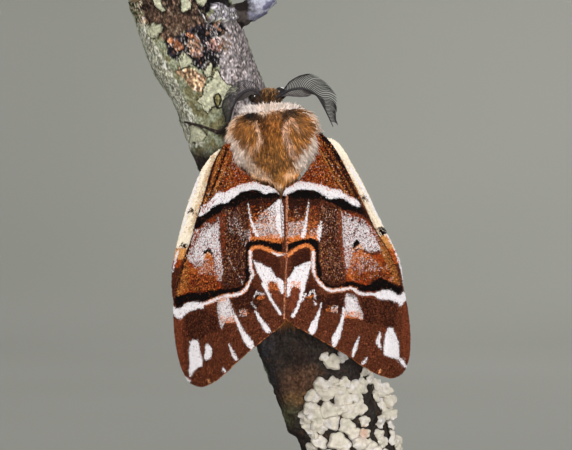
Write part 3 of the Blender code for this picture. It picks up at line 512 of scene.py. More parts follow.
RIGHT_MARKS = [
    *layers([(270, 240), (420, 240), (420, 400), (270, 400)], redbrown=0.22, maroon=0.4, dark=0.1),
    ("rust", 1.0, [(270, 100), (345, 100), (375, 200)] + R_BAND_TOP[::-1]),
    ("deep_rust", 0.55, [(280, 170), (322, 165), (330, 186), (319, 183), (300, 180), (290, 184)]),
    *layers([(290, 150), (316, 150), (330, 186), (319, 183), (288, 186)], deep_rust=0.5, orange=0.2,
        dark=0.34, grey=0.02),
    ("ochre", 0.5, [(316, 120), (346, 165), (366, 205), (351, 198), (338, 190), (326, 186), (320, 160)]),
    ("rust", 0.3, [(316, 120), (336, 165), (346, 196), (338, 190), (326, 186), (320, 160)]),
    ("maroon", 0.3, [(316, 120), (346, 165), (366, 205), (351, 198), (338, 190), (322, 150)]),
    ("grey", 0.04, [(316, 150), (340, 160), (358, 199), (342, 192), (326, 186)]),
    ("dark", 0.85, [(324, 146, 2.4), (337, 170, 2.2), (350, 193, 1.6)]),
    ("ochre", 0.85, [(330, 148, 2.2), (342, 172, 2.0), (354, 196, 1.2)]),
    ("tan", 0.5, [(324, 152, 1.2), (335, 174, 1.2), (346, 194, 1.0)]),
    ("dark", 0.35, [(316, 120), (346, 165), (366, 205), (352, 198), (338, 190), (326, 186), (320, 160)]),
    ("black", 0.8, [(322, 150, 1.4), (336, 178, 1.2), (352, 198, 0.8)]),
    ("black", 0.6, [(318, 158, 1.0), (328, 178, 1.0), (338, 189, 0.8)]),
    ("ochre", 0.7, [(320, 150, 1.6), (334, 176, 1.4), (348, 196, 1.2)]),
    ("dark", 0.7, [(322, 134, 7.0), (332, 148, 6.5), (344, 168, 5.0), (352, 184, 3.5)]),
    ("black", 0.75, [(322, 134, 5.0), (333, 148, 4.5), (345, 168, 3.5)]),
    ("white", 0.94, between(R_BAND_TOP, R_BAND_LOW)),
    ("orange", 0.16, between(R_BAND_TOP, [(x, y + 2.5) for x, y in R_BAND_TOP])),
    *layers(R_BLACK_LOW + [(402, 296), (380, 300)] + R_POSTMEDIAN[::-1] + R_ARCH[::-1], maroon=1.0,
        brown=0.32),
    ("dark", 0.65, [(286, 199), (320, 199), (322, 222), (308, 218), (287, 216)]),
    ("black", 0.985, between(R_BAND_LOW, R_BLACK_LOW)),
    ("black", 0.5, [(286, 198), (312, 198), (300, 203), (287, 203)]),
    ("rust", 0.3, [(287, 206), (316, 206), (317, 240), (287, 242)]),
    ("gold", 0.2, [(287, 208), (316, 208), (317, 240), (287, 242)]),
    ("dark", 0.35, [(286, 200), (318, 200), (318, 222), (287, 220)]),
    ("grey", 0.05, [(287, 206), (305, 206), (305, 224), (287, 226)]),
    ("dark", 0.45, [(287, 200), (306, 200), (305, 216), (287, 216)]),
    ("redbrown", 0.45, [(308, 205), (320, 205), (320, 240), (308, 240)]),
    ("grey", 0.5, [(287, 223), (305, 220), (305, 238), (287, 238)]),
    ("grey", 0.3, [(309, 230), (318, 226), (318, 240), (309, 238)]),
    ("orange", 0.14, [(287, 218), (306, 214), (318, 220), (318, 240), (287, 240)]),
    ("dark", 0.12, [(287, 210), (318, 210), (318, 236), (287, 236)]),
    ("orange", 0.6, [(286, 237), (303, 234), (318, 234), (320, 241), (312, 239), (300, 241), (286, 246)]),
    ("white", 0.9, [(308.5, 201, 0.5), (308, 207, 1.0), (307, 213, 1.8), (306, 220, 2.2), (305, 229, 3.4),
        (303, 236, 4.5)]),
    ("white", 0.85, [(320, 221), (323.5, 222), (322.3, 230), (320, 237), (319.3, 242), (317.5, 239),
        (316.5, 231), (318.5, 226)]),
    ("redbrown", 0.3, [(320, 203), (341, 207), (346, 282), (322, 282)]),
    ("tan", 0.08, [(320, 205), (340, 210), (345, 280), (320, 280)]),
    *layers([(322, 205), (338, 208), (340, 236), (322, 236)], dust=0.12, grey=0.03),
    ("dust", 0.05, [(320, 236), (342, 236), (346, 280), (320, 280)]),
    ("black", 0.35, [(322, 202), (338, 208), (338, 232), (325, 236)]),
    ("black", 0.22, [(320, 236), (340, 232), (346, 280), (338, 288), (324, 286)]),
    ("dark", 0.4, [(320, 204), (338, 208), (339, 236), (345, 280), (338, 288), (324, 286)]),
    ("dust", 0.06, [(322, 205), (338, 208), (345, 280), (322, 280)]),
    ("redbrown", 0.7, [(337.5, 212), (342, 211), (343, 240), (346, 262), (341, 262), (338, 240)]),
    ("grey", 0.82, [(341.7, 211), (347, 213), (355, 216), (363, 219), (368, 224), (376, 233), (380, 241),
        (383, 246), (385, 257), (378, 250), (372, 253), (363, 249), (353, 249), (353, 258), (351, 266),
        (349, 274), (345.5, 274), (344.6, 258), (342.5, 240)]),
    ("white", 0.5, [(344, 222), (350, 217), (364, 224), (376, 240), (380, 250), (372, 251), (362, 247),
        (352, 250), (350, 266), (346, 268)]),
    ("rust", 0.35, [(342, 210), (356, 214), (368, 222), (366, 226), (350, 218), (343, 217)]),
    ("rust", 0.5, [(364, 217), (374, 229), (384, 245), (382, 251), (370, 231)]),
    *layers([(342, 212), (356, 216), (368, 224), (380, 242), (384, 256), (372, 252), (353, 250),
        (350, 274), (345, 272)], rust=0.16, dark=0.14),
    ("dark", 0.3, [(343, 212), (358, 217), (370, 227), (364, 228), (352, 221), (344, 220)]),
    ("rust", 0.3, [(343, 248), (353, 246), (352, 262), (349, 275), (345, 274)]),
    ("pale_orange", 0.8, [(353.5, 250, 1.5), (355.5, 247, 1.8), (359, 245.5, 1.8), (362.5, 249, 1.5)]),
    ("rust", 0.92, [(352, 254), (357, 249.5), (364, 252), (372, 255), (380, 254), (386, 258), (392, 267),
        (398, 284), (390, 281), (376, 277), (366, 285), (352, 281), (346, 281), (346, 273), (350, 268)]),
    ("gold", 0.5, [(352, 254), (358, 249), (370, 255), (392, 268), (397, 283), (376, 278), (352, 280),
        (347, 276)]),
    ("orange", 0.2, [(352, 254), (358, 249), (370, 255), (378, 268), (376, 278), (352, 280), (347, 276)]),
    ("dark", 0.3, [(362, 258), (384, 262), (392, 270), (394, 280), (376, 278), (366, 284), (356, 280)]),
    ("brown", 0.25, [(350, 264), (362, 258), (380, 266), (390, 280), (376, 279), (352, 280)]),
    ("black", 0.16, [(350, 262), (366, 256), (388, 262), (396, 280), (376, 279), (352, 281)]),
    ("deep_rust", 0.3, [(352, 258), (384, 260), (396, 282), (376, 279), (350, 281)]),
    ("grey", 0.14, [(350, 252), (358, 250), (368, 255), (378, 262), (376, 270), (352, 272)]),
    ("grey", 0.03, [(352, 258), (384, 260), (396, 282), (376, 279), (350, 281)]),
    *layers([(377, 235), (384, 245), (391, 258), (397, 270), (400, 285), (392, 281), (388, 268),
        (382, 256)], ochre=0.7, dark=0.25),
    ("black", 1.0, [(352.9, 248), (353.2, 243.4), (355, 240.4), (358, 239.8), (360.8, 243), (358.8, 245),
        (356.6, 245.6), (354.6, 248.4)]),
    ("black", 0.985, [(286, 244), (292.5, 242.5), (298, 240), (305, 239), (311, 238), (316, 240),
        (318, 242.5), (318.7, 250), (318.7, 262), (321.7, 270), (321.7, 279), (318, 277.5), (315.6, 270),
        (315.4, 255), (314, 248), (311.7, 245.3), (305, 243.6), (300, 245), (293, 248), (286, 252.3)]),
    ("black", 0.85, [(318, 274, 3.5), (321.5, 281, 3.5), (326.5, 285.5, 3.0), (332, 287.3, 2.6),
        (340, 286.8, 3.5), (346, 284.5, 5.0)]),
    ("black", 0.97, [(346, 281), (352, 281), (355, 282.5), (359, 284), (367.5, 285), (376, 279),
        (380, 277.5), (384, 279), (391, 282), (397, 285), (402, 286), (403, 292), (399, 296), (397, 294),
        (391, 290), (382.5, 289), (377, 291), (370, 292.5), (363, 292.5), (357.5, 291), (352.5, 287.5),
        (345, 287.3)]),
    ("orange", 0.6, widened(R_POSTMEDIAN[:12], 4.4)),
    ("rust", 0.5, widened(R_POSTMEDIAN[10:], 5.6)),
    ("orange", 0.9, widened(R_ARCH, 3.4)),
    ("pale_orange", 0.3, widened(R_ARCH, 2.0)),
    ("maroon", 1.0, [(286.5, 259), (293, 254.5), (299, 250.5), (305, 248), (309.5, 249), (311.3, 254),
        (311, 262), (307, 260.5), (300, 265), (295, 267.5), (292.5, 272), (290, 276), (286.5, 279)]),
    ("dark", 0.5, [(293, 255), (305, 249), (311, 254), (309, 262), (296, 266), (288, 274)]),
    ("brown", 0.4, [(286, 259), (291, 256), (292, 268), (286, 276)]),
    ("white", 0.95, widened(R_POSTMEDIAN, 2.7)),
    ("white", 0.98, [(376, 292.5), (384, 290), (391, 290.4), (397, 294.6), (400, 295.5), (402.5, 292),
        (406, 292), (406, 301), (403.5, 301.5), (401.5, 306.5), (398, 303), (394, 301), (388, 299.6),
        (380, 299), (376, 297)]),
    ("maroon", 0.8, [(307.5, 279), (313, 272), (315.5, 280), (321, 288), (316, 292), (303, 296)]),
    ("white", 0.95, [(310, 261), (304, 263), (300, 265), (295, 267.5), (292.5, 272), (290, 276),
        (287.3, 279), (286.6, 286), (286.8, 297), (289.5, 296), (290.8, 288), (294, 287.5), (299, 289),
        (301.5, 293), (305, 286), (307.6, 277.5), (309.5, 270), (311.3, 263)]),
    ("orange", 0.45, [(290.5, 281.5), (300, 280.5), (301, 289), (291, 290)]),
    ("redbrown", 0.9, [(291, 288), (294, 286.5), (299, 288), (301.5, 292), (299, 300), (292, 312),
        (288, 308)]),
    ("white", 0.97, [(303, 288, 4.0), (300.8, 297, 2.6), (298.5, 305, 2.6), (295, 312, 3.2),
        (292.5, 316, 3.2)]),
    ("dark", 0.8, [(303, 292), (309, 286), (316, 291), (322, 296), (343, 293), (344, 305), (340, 312),
        (334, 306), (326, 312), (321, 309), (318, 300), (310, 299), (303, 298)]),
    ("dark", 0.6, [(361, 297), (377, 299), (376, 325), (366, 323), (362, 308)]),
    ("dark", 0.6, [(379, 300), (393, 301), (397, 308), (396, 326), (386, 327), (380, 322)]),
    ("redbrown", 0.85, [(402, 306), (405, 300), (411, 330), (410, 365), (404, 358), (401.5, 340),
        (402.5, 322)]),
    ("white", 0.7, [(308.5, 296, 1.4), (310.5, 292, 1.4), (313.5, 290.5, 1.6), (314.6, 294, 1.4),
        (315.5, 298, 1.6)]),
    ("orange", 0.6, [(306, 297, 1.4), (311, 297, 2.4), (314, 295, 1.4)]),
    ("white", 0.85, [(305.5, 294, 1.8), (303.5, 298, 1.5), (302.5, 300, 1.8)]),
    ("white", 0.8, [(313.8, 301.5, 1.4), (316, 304.5, 1.6)]),
    ("orange", 0.35, [(324, 309), (330, 306), (337, 305), (338, 312), (330, 312)]),
    ("grey", 0.25, [(330, 305), (337, 305), (338, 312), (331, 312)]),
    ("white", 0.96, [(321.2, 303, 0.9), (319.6, 309, 1.6), (317.8, 316, 3.0), (315.6, 321, 4.6),
        (313.6, 326, 7.0), (312.4, 330, 7.4), (311.5, 333.5, 4.0)]),
    ("grey", 0.8, [(346, 293), (355, 295), (357.8, 301), (360, 308), (362.8, 314), (362.5, 320),
        (355, 317), (348, 316), (343.5, 318), (342.5, 312), (345, 306), (345, 297)]),
    ("white", 0.5, [(346, 296), (352, 298), (357, 303), (359, 310), (352, 313), (346, 312)]),
    ("dark", 0.3, [(347, 293), (356, 295), (357, 300), (349, 297)]),
    ("orange", 0.4, [(344, 311), (360, 311), (363, 320), (344, 318)]),
    ("white", 0.97, [(343.5, 308, 2.0), (343, 315, 2.6), (341.3, 323, 3.6), (338.6, 331, 5.2),
        (336, 338, 7.2), (334.4, 342, 6.6), (334, 344.5, 4.0)]),
    ("white", 0.95, [(358.7, 336.8, 1.0), (357.5, 341, 2.1), (355.5, 347, 3.4), (353.8, 352, 3.6),
        (353, 355.5, 2.6)]),
    ("white", 0.95, [(366.3, 358.5, 1.2), (364.3, 361.5, 2.2), (362.8, 363.5, 2.6)]),
    ("pale_orange", 0.9, [(380.6, 369, 1.2), (379.2, 373, 1.7)]),
    ("white", 0.985, [(388.6, 328), (390.5, 327.4), (392.7, 329), (395, 334), (397.5, 340), (399, 347),
        (399.3, 359), (392.5, 358), (384, 355), (383, 350), (384, 343), (385, 337), (387, 330)]),
    ("white", 0.97, [(399, 359, 2.2), (402, 361.5, 3.2), (404, 365, 3.0), (406, 367, 2.2)]),
    ("white", 0.93, [(379.7, 330), (380.6, 336), (380.2, 341), (381.6, 349.6), (378, 346), (375.5, 341.5),
        (378, 336.5)]),
    ("redbrown", 0.8, [(286.8, 196, 2.4), (286.7, 225, 2.4), (286.5, 250, 2.2), (286, 275, 2.0),
        (285, 300, 2.0), (284, 318, 2.0)]),
    ("fringe", 0.7, [(286.8, 196, 1.1), (286.7, 225, 1.1), (286.5, 250, 1.0), (286, 275, 0.9),
        (285, 300, 0.9), (284, 318, 0.9)]),
    # Dark line along the costa: partly the edge's own dark rim, partly the painted shadow of the forewing's
    # edge on the hindwing.
    ("dark", 0.9, [(342, 170, 3.6), (351, 186, 3.4), (357, 197, 3.0), (362, 207.5, 3.0), (367.5, 217, 2.6),
        (374, 227, 2.4), (380, 236, 2.4)]),
    ("black", 0.9, [(378, 233, 2.6), (387, 245.5, 2.4), (392, 253.5, 2.4), (397, 264, 2.2),
        (400, 273, 2.0)]),
]

# Left forewing
L_BAND_TOP = [(292, 188), (270, 186), (264, 182.5), (260, 184), (255, 182), (250, 182), (243, 184),
              (239, 185), (235, 187), (230.5, 189), (225, 192.5), (219, 192), (215.5, 194), (213, 197.5),
              (210, 201), (205.5, 204), (201, 207.5), (199, 212)]
L_BAND_LOW = [(292, 194), (285, 194.5), (281, 195), (275.5, 192), (270, 192.5), (266, 194), (262, 192.5),
              (258, 190), (254, 189), (249, 190), (243, 191), (239, 193), (235, 197), (230.5, 199),
              (229, 202), (226, 203), (220, 203), (215.5, 205), (211, 208), (207, 212.5), (203, 215),
              (199, 216)]
L_BLACK_LOW = [(292, 199), (285, 199.5), (280, 198.6), (273, 198.5), (266, 198.8), (260, 198.6),
               (251, 199.5), (243, 201), (239, 203.5), (235, 210), (228, 211), (221, 212), (218, 213),
               (213, 217), (208, 219), (203, 223), (201, 227), (198, 228.5), (193, 228)]
L_POSTMEDIAN = [(250.5, 251), (250.5, 262), (251, 268), (253, 274), (251.5, 279), (249.7, 283), (246, 289),
                (241, 293.5), (233, 295.4), (227, 295.4), (223, 297), (218, 298), (212, 301), (207, 303),
                (201, 305)]
L_ARCH = [(250.5, 251), (252, 248.5), (256, 247), (261, 247), (267, 249), (273, 252), (278, 254),
          (286, 254)]
LEFT_MARKS = [
    *layers([(160, 240), (295, 240), (295, 400), (160, 400)], redbrown=0.2, maroon=0.45, dark=0.12),
    ("rust", 1.0, [(292, 100), (215, 100), (190, 214)] + L_BAND_TOP[::-1]),
    ("deep_rust", 0.5, [(280, 165), (232, 160), (230, 186), (243, 183), (262, 181), (280, 186)]),
    *layers([(232, 150), (262, 150), (268, 182), (243, 183), (230, 187)], deep_rust=0.4, orange=0.2,
        dark=0.34, grey=0.03),
    ("ochre", 0.5, [(226, 120), (212, 165), (196, 214), (213, 197), (224, 191), (233, 186), (232, 150)]),
    ("rust", 0.3, [(230, 120), (222, 165), (214, 197), (224, 191), (233, 186), (232, 150)]),
    ("maroon", 0.3, [(226, 120), (212, 165), (196, 214), (213, 197), (226, 188), (228, 150)]),
    ("grey", 0.04, [(228, 150), (205, 190), (202, 207), (213, 196), (232, 187)]),
    ("dark", 0.85, [(227, 148, 2.6), (219, 172, 2.2), (210, 198, 1.6)]),
    ("ochre", 0.85, [(222, 150, 2.2), (214, 176, 2.0), (204, 203, 1.2)]),
    ("tan", 0.5, [(229, 152, 1.2), (223, 172, 1.2), (215, 192, 1.0)]),
    ("dark", 0.35, [(226, 120), (212, 165), (198, 212), (213, 197), (224, 191), (233, 186), (232, 150)]),
    ("black", 0.8, [(225, 155, 1.6), (217, 178, 1.4), (207, 202, 0.8)]),
    ("black", 0.6, [(230, 160, 1.0), (224, 178, 1.0), (216, 193, 0.8)]),
    ("ochre", 0.7, [(228, 158, 1.6), (220, 178, 1.4), (212, 194, 1.2)]),
    ("dark", 0.8, [(223, 138, 8.0), (216, 152, 7.0), (209, 172, 5.5), (202, 194, 3.5)]),
    ("black", 0.7, [(221, 138, 5.0), (213, 154, 5.0), (207, 172, 4.0), (201, 192, 2.5)]),
    ("white", 0.94, between(L_BAND_TOP, L_BAND_LOW)),
    ("orange", 0.14, between(L_BAND_TOP, [(x, y + 2.5) for x, y in L_BAND_TOP])),
    ("rust", 0.3, [(199, 214), (205, 204), (213, 197), (216, 200), (207, 212)]),
    *layers(L_BLACK_LOW + [(171, 300), (185, 305)] + L_POSTMEDIAN[::-1] + L_ARCH, maroon=1.0, brown=0.3),
    ("dark", 0.6, [(244, 199), (280, 199), (276, 212), (256, 214), (246, 222)]),
    ("black", 0.985, between(L_BAND_LOW, L_BLACK_LOW)),
    ("black", 0.5, [(236, 203), (262, 199), (280, 199), (262, 202), (246, 206), (238, 212)]),
    ("rust", 0.3, [(247, 204), (278, 202), (285, 240), (251, 240)]),
    ("gold", 0.2, [(247, 206), (278, 204), (285, 240), (251, 240)]),
    ("dark", 0.35, [(246, 200), (279, 200), (278, 216), (248, 220)]),
    ("grey", 0.05, [(256, 208), (278, 204), (279, 228), (254, 228)]),
    ("dark", 0.5, [(250, 200), (274, 200), (270, 214), (252, 218)]),
    ("grey", 0.35, [(258, 216), (268, 208), (276, 202), (279, 228), (254, 228)]),
    ("white", 0.55, [(268, 208), (276, 201), (280, 230), (270, 232)]),
    ("grey", 0.62, [(254, 224), (279, 222), (283, 238), (255, 237)]),
    ("orange", 0.14, [(250, 214), (277, 208), (284, 240), (250, 240)]),
    ("dark", 0.12, [(250, 212), (277, 206), (284, 236), (250, 236)]),
    ("orange", 0.62, [(250, 237), (262, 236), (276, 234), (286, 236), (286, 244), (270, 242), (258, 240),
        (248, 241)]),
    ("white", 0.9, [(275.5, 203), (279, 199.5), (285, 200), (286.5, 208), (286.7, 235), (281, 237),
        (277, 230), (276, 215)]),
    ("orange", 0.9, [(284.5, 199, 1.2), (286.2, 208, 1.4), (287, 220, 1.6), (286, 236, 1.8)]),
    ("white", 0.92, [(247.5, 202, 0.5), (249, 208, 1.0), (250, 214, 1.4), (251.2, 220, 2.0),
        (253, 226, 2.8), (255, 231, 2.8), (258, 236, 1.4)]),
    ("grey", 0.8, [(239, 229), (244, 230), (248, 236), (248, 240), (244, 246), (242, 243), (240, 236)]),
    ("grey", 0.35, [(236, 226), (250, 229), (252, 238), (246, 247), (240, 240)]),
    ("black", 0.45, [(222, 212), (237, 210), (240, 226), (238, 240), (226, 236)]),
    ("black", 0.25, [(222, 240), (248, 244), (250, 278), (240, 290), (224, 288)]),
    ("redbrown", 0.25, [(222, 210), (246, 204), (250, 278), (224, 288)]),
    ("tan", 0.08, [(222, 210), (246, 208), (250, 278), (224, 288)]),
    *layers([(226, 211), (241, 211), (241, 234), (226, 232)], dust=0.16, grey=0.06),
    ("dark", 0.6, [(222, 206), (247, 206), (250, 280), (224, 290)]),
    ("dust", 0.06, [(222, 208), (246, 208), (250, 280), (224, 286)]),
    ("grey", 0.12, [(228, 218), (240, 218), (240, 233), (230, 232)]),
    ("grey", 0.5, [(228, 256, 0.8), (232, 264, 0.8), (236, 270, 0.8), (240, 277, 0.8), (243, 284, 0.8)]),
    *layers([(220, 214), (226, 212), (226, 255), (221, 258), (220, 240)], redbrown=0.4, rust=0.12),
    ("grey", 0.82, [(219.5, 217), (215, 221), (205, 223), (201, 228), (195.5, 230), (192, 235), (190, 245),
        (187.6, 253), (186, 258), (190, 262), (195.5, 266), (201, 268), (206, 262), (212, 262), (215, 268),
        (217, 281), (222, 281), (223, 270), (221, 253), (220, 240)]),
    ("white", 0.5, [(218, 224), (212, 228), (202, 232), (194, 244), (190, 256), (196, 262), (204, 258),
        (206, 251), (213, 251), (217, 262), (220, 274), (221, 254)]),
    ("rust", 0.4, [(199, 228), (206, 222), (217, 214), (220, 220), (212, 224), (204, 228)]),
    ("rust", 0.4, [(195, 229), (202, 228), (198, 240), (192, 252), (186, 260), (189, 246)]),
    *layers([(219, 218), (204, 224), (194, 234), (188, 254), (196, 266), (206, 258), (213, 260),
        (218, 280), (222, 280), (221, 250)], rust=0.16, dark=0.13),
    ("dark", 0.3, [(200, 229), (207, 222), (217, 215), (220, 222), (210, 226), (202, 234)]),
    ("rust", 0.3, [(210, 256), (222, 252), (222, 282), (216, 280), (212, 262)]),
    ("rust", 0.92, [(205, 256), (208, 251.5), (212, 255), (215, 264), (217, 281), (222, 286), (221, 289),
        (208, 291), (195, 292), (184, 294), (176, 296), (180, 276), (187, 257), (191, 263), (201, 268)]),
    ("gold", 0.5, [(205, 256), (209, 251), (214, 262), (218, 280), (215, 290), (196, 290), (180, 294),
        (186, 268), (202, 266)]),
    ("orange", 0.2, [(205, 256), (209, 251), (214, 262), (218, 280), (215, 290), (196, 288), (190, 270),
        (202, 266)]),
    ("dark", 0.32, [(190, 272), (206, 274), (220, 282), (220, 289), (196, 292), (186, 290)]),
    ("brown", 0.25, [(196, 272), (214, 268), (218, 286), (200, 291), (186, 292)]),
    ("black", 0.15, [(192, 274), (214, 272), (219, 288), (200, 292), (184, 294)]),
    *layers([(190, 262), (214, 258), (220, 288), (186, 292)], deep_rust=0.3, dark=0.12),
    ("grey", 0.12, [(188, 258), (206, 258), (216, 262), (218, 276), (200, 274)]),
    *layers([(188, 248), (187, 258), (189, 268), (188, 280), (184, 293), (176, 297), (179, 277),
        (184, 262)], ochre=0.7, dark=0.25),
    ("black", 1.0, [(203.4, 254.6), (204.6, 250.2), (208.3, 247.8), (211.8, 249.8), (213, 254.6),
        (211, 253.6), (208.5, 251.8), (205.6, 253.6)]),
    ("pale_orange", 0.6, [(204.5, 256, 1.2), (208.5, 253, 1.6), (212, 257, 1.4)]),
    ("black", 0.985, [(286, 243.5), (280.5, 243), (275, 242.5), (270, 242), (264, 240), (258, 239.6),
        (252, 241), (248, 241), (246, 245), (245.4, 256), (245.4, 270), (246, 279), (250.5, 279),
        (249.4, 268), (249.2, 251), (252, 247.4), (256, 245.8), (262, 245.6), (268, 247.6), (273, 250),
        (279, 252), (286, 252.6)]),
    ("black", 0.7, [(248, 276, 3.6), (246, 283, 3.4), (242, 288.5, 3.4), (236, 291, 4.0),
        (228, 290.5, 3.6)]),
    ("black", 0.97, [(240.5, 287), (235, 287.5), (226, 289), (221, 288), (215, 290), (208, 290.5),
        (201, 293), (195.5, 292), (189, 292), (184, 294), (176, 296), (174, 303), (177.5, 307.5),
        (181, 307), (184, 302.5), (190, 301), (198, 301.7), (202.5, 302), (207, 300), (215, 299),
        (219, 295), (223, 293.4), (232, 293), (240, 292)]),
    ("orange", 0.5, widened(L_POSTMEDIAN[:10], 4.4)),
    ("orange", 0.5, widened(L_POSTMEDIAN[8:], 4.8)),
    ("orange", 0.9, widened(L_ARCH, 3.4)),
    ("pale_orange", 0.35, widened(L_ARCH, 2.0)),
    ("white", 0.7, [(273, 252.5, 1.4), (278, 255, 2.6), (284, 254.5, 1.6)]),
    ("maroon", 1.0, [(252.4, 253), (254, 250.3), (260, 249.3), (266, 251.6), (272, 255.5), (279, 258),
        (286, 257.5), (286, 284), (281, 280), (276, 277), (273, 272), (270, 268), (265, 266), (260, 263),
        (254, 262)]),
    ("brown", 0.5, [(279, 258), (286, 258), (286, 284), (280, 278)]),
    ("white", 0.95, widened(L_POSTMEDIAN, 2.8)),
    ("white", 0.98, [(202, 302.4), (197, 301.7), (190, 302), (185, 304), (182, 307.4), (177.5, 308.4),
        (172, 306), (172, 313), (174.5, 314.5), (177, 318), (180, 319), (183, 317), (186, 313),
        (190, 311.4), (197, 309), (204, 307.8)]),
    ("maroon", 0.75, [(253, 276), (258, 284), (262, 291), (266, 298), (256, 296), (248, 288)]),
    ("white", 0.95, [(255.5, 262), (260, 263), (265, 266), (270, 267.5), (273, 272), (276, 277),
        (280.5, 279), (285, 282), (286, 286), (285, 292), (281.5, 294), (278.5, 287), (275, 281.5),
        (270, 281), (268.5, 285), (268, 291), (265, 287), (262, 281), (259, 275), (256, 268)]),
    ("grey", 0.5, [(268, 282, 1.6), (268, 290, 1.6), (271, 296, 1.2)]),
    ("redbrown", 0.9, [(268, 283), (277, 283), (280, 292), (283, 302), (277, 302), (269, 292)]),
    ("orange", 0.3, [(267, 281), (278, 281), (280, 290), (269, 290)]),
    ("white", 0.95, [(254, 260, 1.2), (256.5, 267, 1.6), (259.5, 274, 1.8)]),
    ("white", 0.97, [(263, 284, 3.0), (267, 291, 2.6), (270, 298, 2.2), (274, 304, 2.4), (278, 310, 3.0),
        (280.5, 313.4, 2.8)]),
    ("dark", 0.75, [(251, 286), (258, 290), (264, 294), (262, 300), (258, 308), (248, 312), (238, 312),
        (231, 300), (240, 296), (248, 291)]),
    ("white", 0.6, [(254, 297, 1.6), (257, 292, 1.6), (260, 294, 2.0), (264, 294, 1.6)]),
    ("orange", 0.5, [(256, 297), (262, 294), (266, 297), (260, 300)]),
    ("white", 0.6, [(251, 301, 1.0), (253.5, 306, 1.2), (256.5, 308, 1.6)]),
    ("orange", 0.45, [(240, 310), (247, 309), (250, 313), (244, 316)]),
    ("grey", 0.25, [(238, 308), (248, 310), (246, 316), (240, 317)]),
    ("grey", 0.76, [(218, 299), (223, 296), (229, 297), (230.5, 303), (232.8, 309), (236.5, 316),
        (237, 321), (231, 322), (225, 322), (222, 329), (220.5, 327), (219, 317.5), (217.6, 308)]),
    ("white", 0.4, [(220, 300), (228, 299), (231, 309), (235, 317), (226, 318), (220, 318)]),
    ("orange", 0.4, [(219, 296), (225, 296), (226, 302), (218, 303)]),
    ("orange", 0.35, [(220, 316), (236, 316), (238, 323), (221, 324)]),
    ("white", 0.97, [(235.5, 316, 2.0), (238.5, 324, 3.0), (242, 331.5, 4.2), (246, 338, 6.4),
        (249.4, 343, 6.8), (251.5, 346.5, 5.0)]),
    ("white", 0.96, [(255.5, 311, 1.8), (258, 316, 2.4), (262, 322, 3.6), (265.5, 327, 5.6),
        (268, 330.5, 5.0)]),
    ("white", 0.95, [(228.8, 344, 1.0), (231.4, 350, 2.4), (234.2, 355.5, 3.6), (236.2, 359, 3.4)]),
    ("white", 0.95, [(223.3, 368.4, 1.8), (224.8, 371.5, 2.4)]),
    ("pale_orange", 0.9, [(207.5, 380, 1.6), (209.5, 382, 1.6)]),
    ("dark", 0.6, [(186, 316), (196, 310), (205, 310), (217, 318), (220, 330), (208, 334), (200, 340),
        (189, 338), (184, 326)]),
    ("redbrown", 0.8, [(173, 318), (179, 320), (183, 318), (182, 345), (186, 372), (181, 366),
        (175, 345)]),
    ("white", 0.985, [(190.4, 341), (194, 339.6), (197.6, 340.6), (199.2, 343), (200.4, 352), (202.4, 360),
        (203.2, 366), (198, 367.5), (194, 371), (192, 374), (190, 377.5), (188.8, 372), (189.6, 366),
        (189, 352)]),
    ("white", 0.9, [(186, 378, 2.2), (190, 381, 2.0)]),
    ("white", 0.96, [(205.2, 346), (208, 344), (211.6, 348), (212.2, 353), (210.4, 358), (206, 360.6),
        (204, 356), (205.6, 352)]),
    ("orange", 0.5, [(286.8, 196, 2.6), (286.7, 225, 2.4), (286.5, 250, 2.0), (286, 275, 1.6),
        (285, 300, 1.6), (284, 318, 1.6)]),
    ("fringe", 0.8, [(286.8, 196, 1.6), (286.7, 225, 1.6), (286.5, 250, 1.4), (286, 275, 1.2),
        (285, 300, 1.2), (284, 318, 1.2)]),
    # Dark line along the costa: partly the edge's own dark rim, partly the painted shadow of the forewing's
    # edge on the hindwing.
    ("dark", 0.9, [(211.5, 170, 3.6), (207.5, 187, 3.2), (202, 202, 2.8), (197, 217, 2.6),
        (193, 230, 2.4)]),
    ("dark", 0.9, [(193, 230, 2.2), (189, 247, 2.2), (184, 264, 2.2), (180, 277, 2.0),
        (176.5, 290, 2.0)]),
]

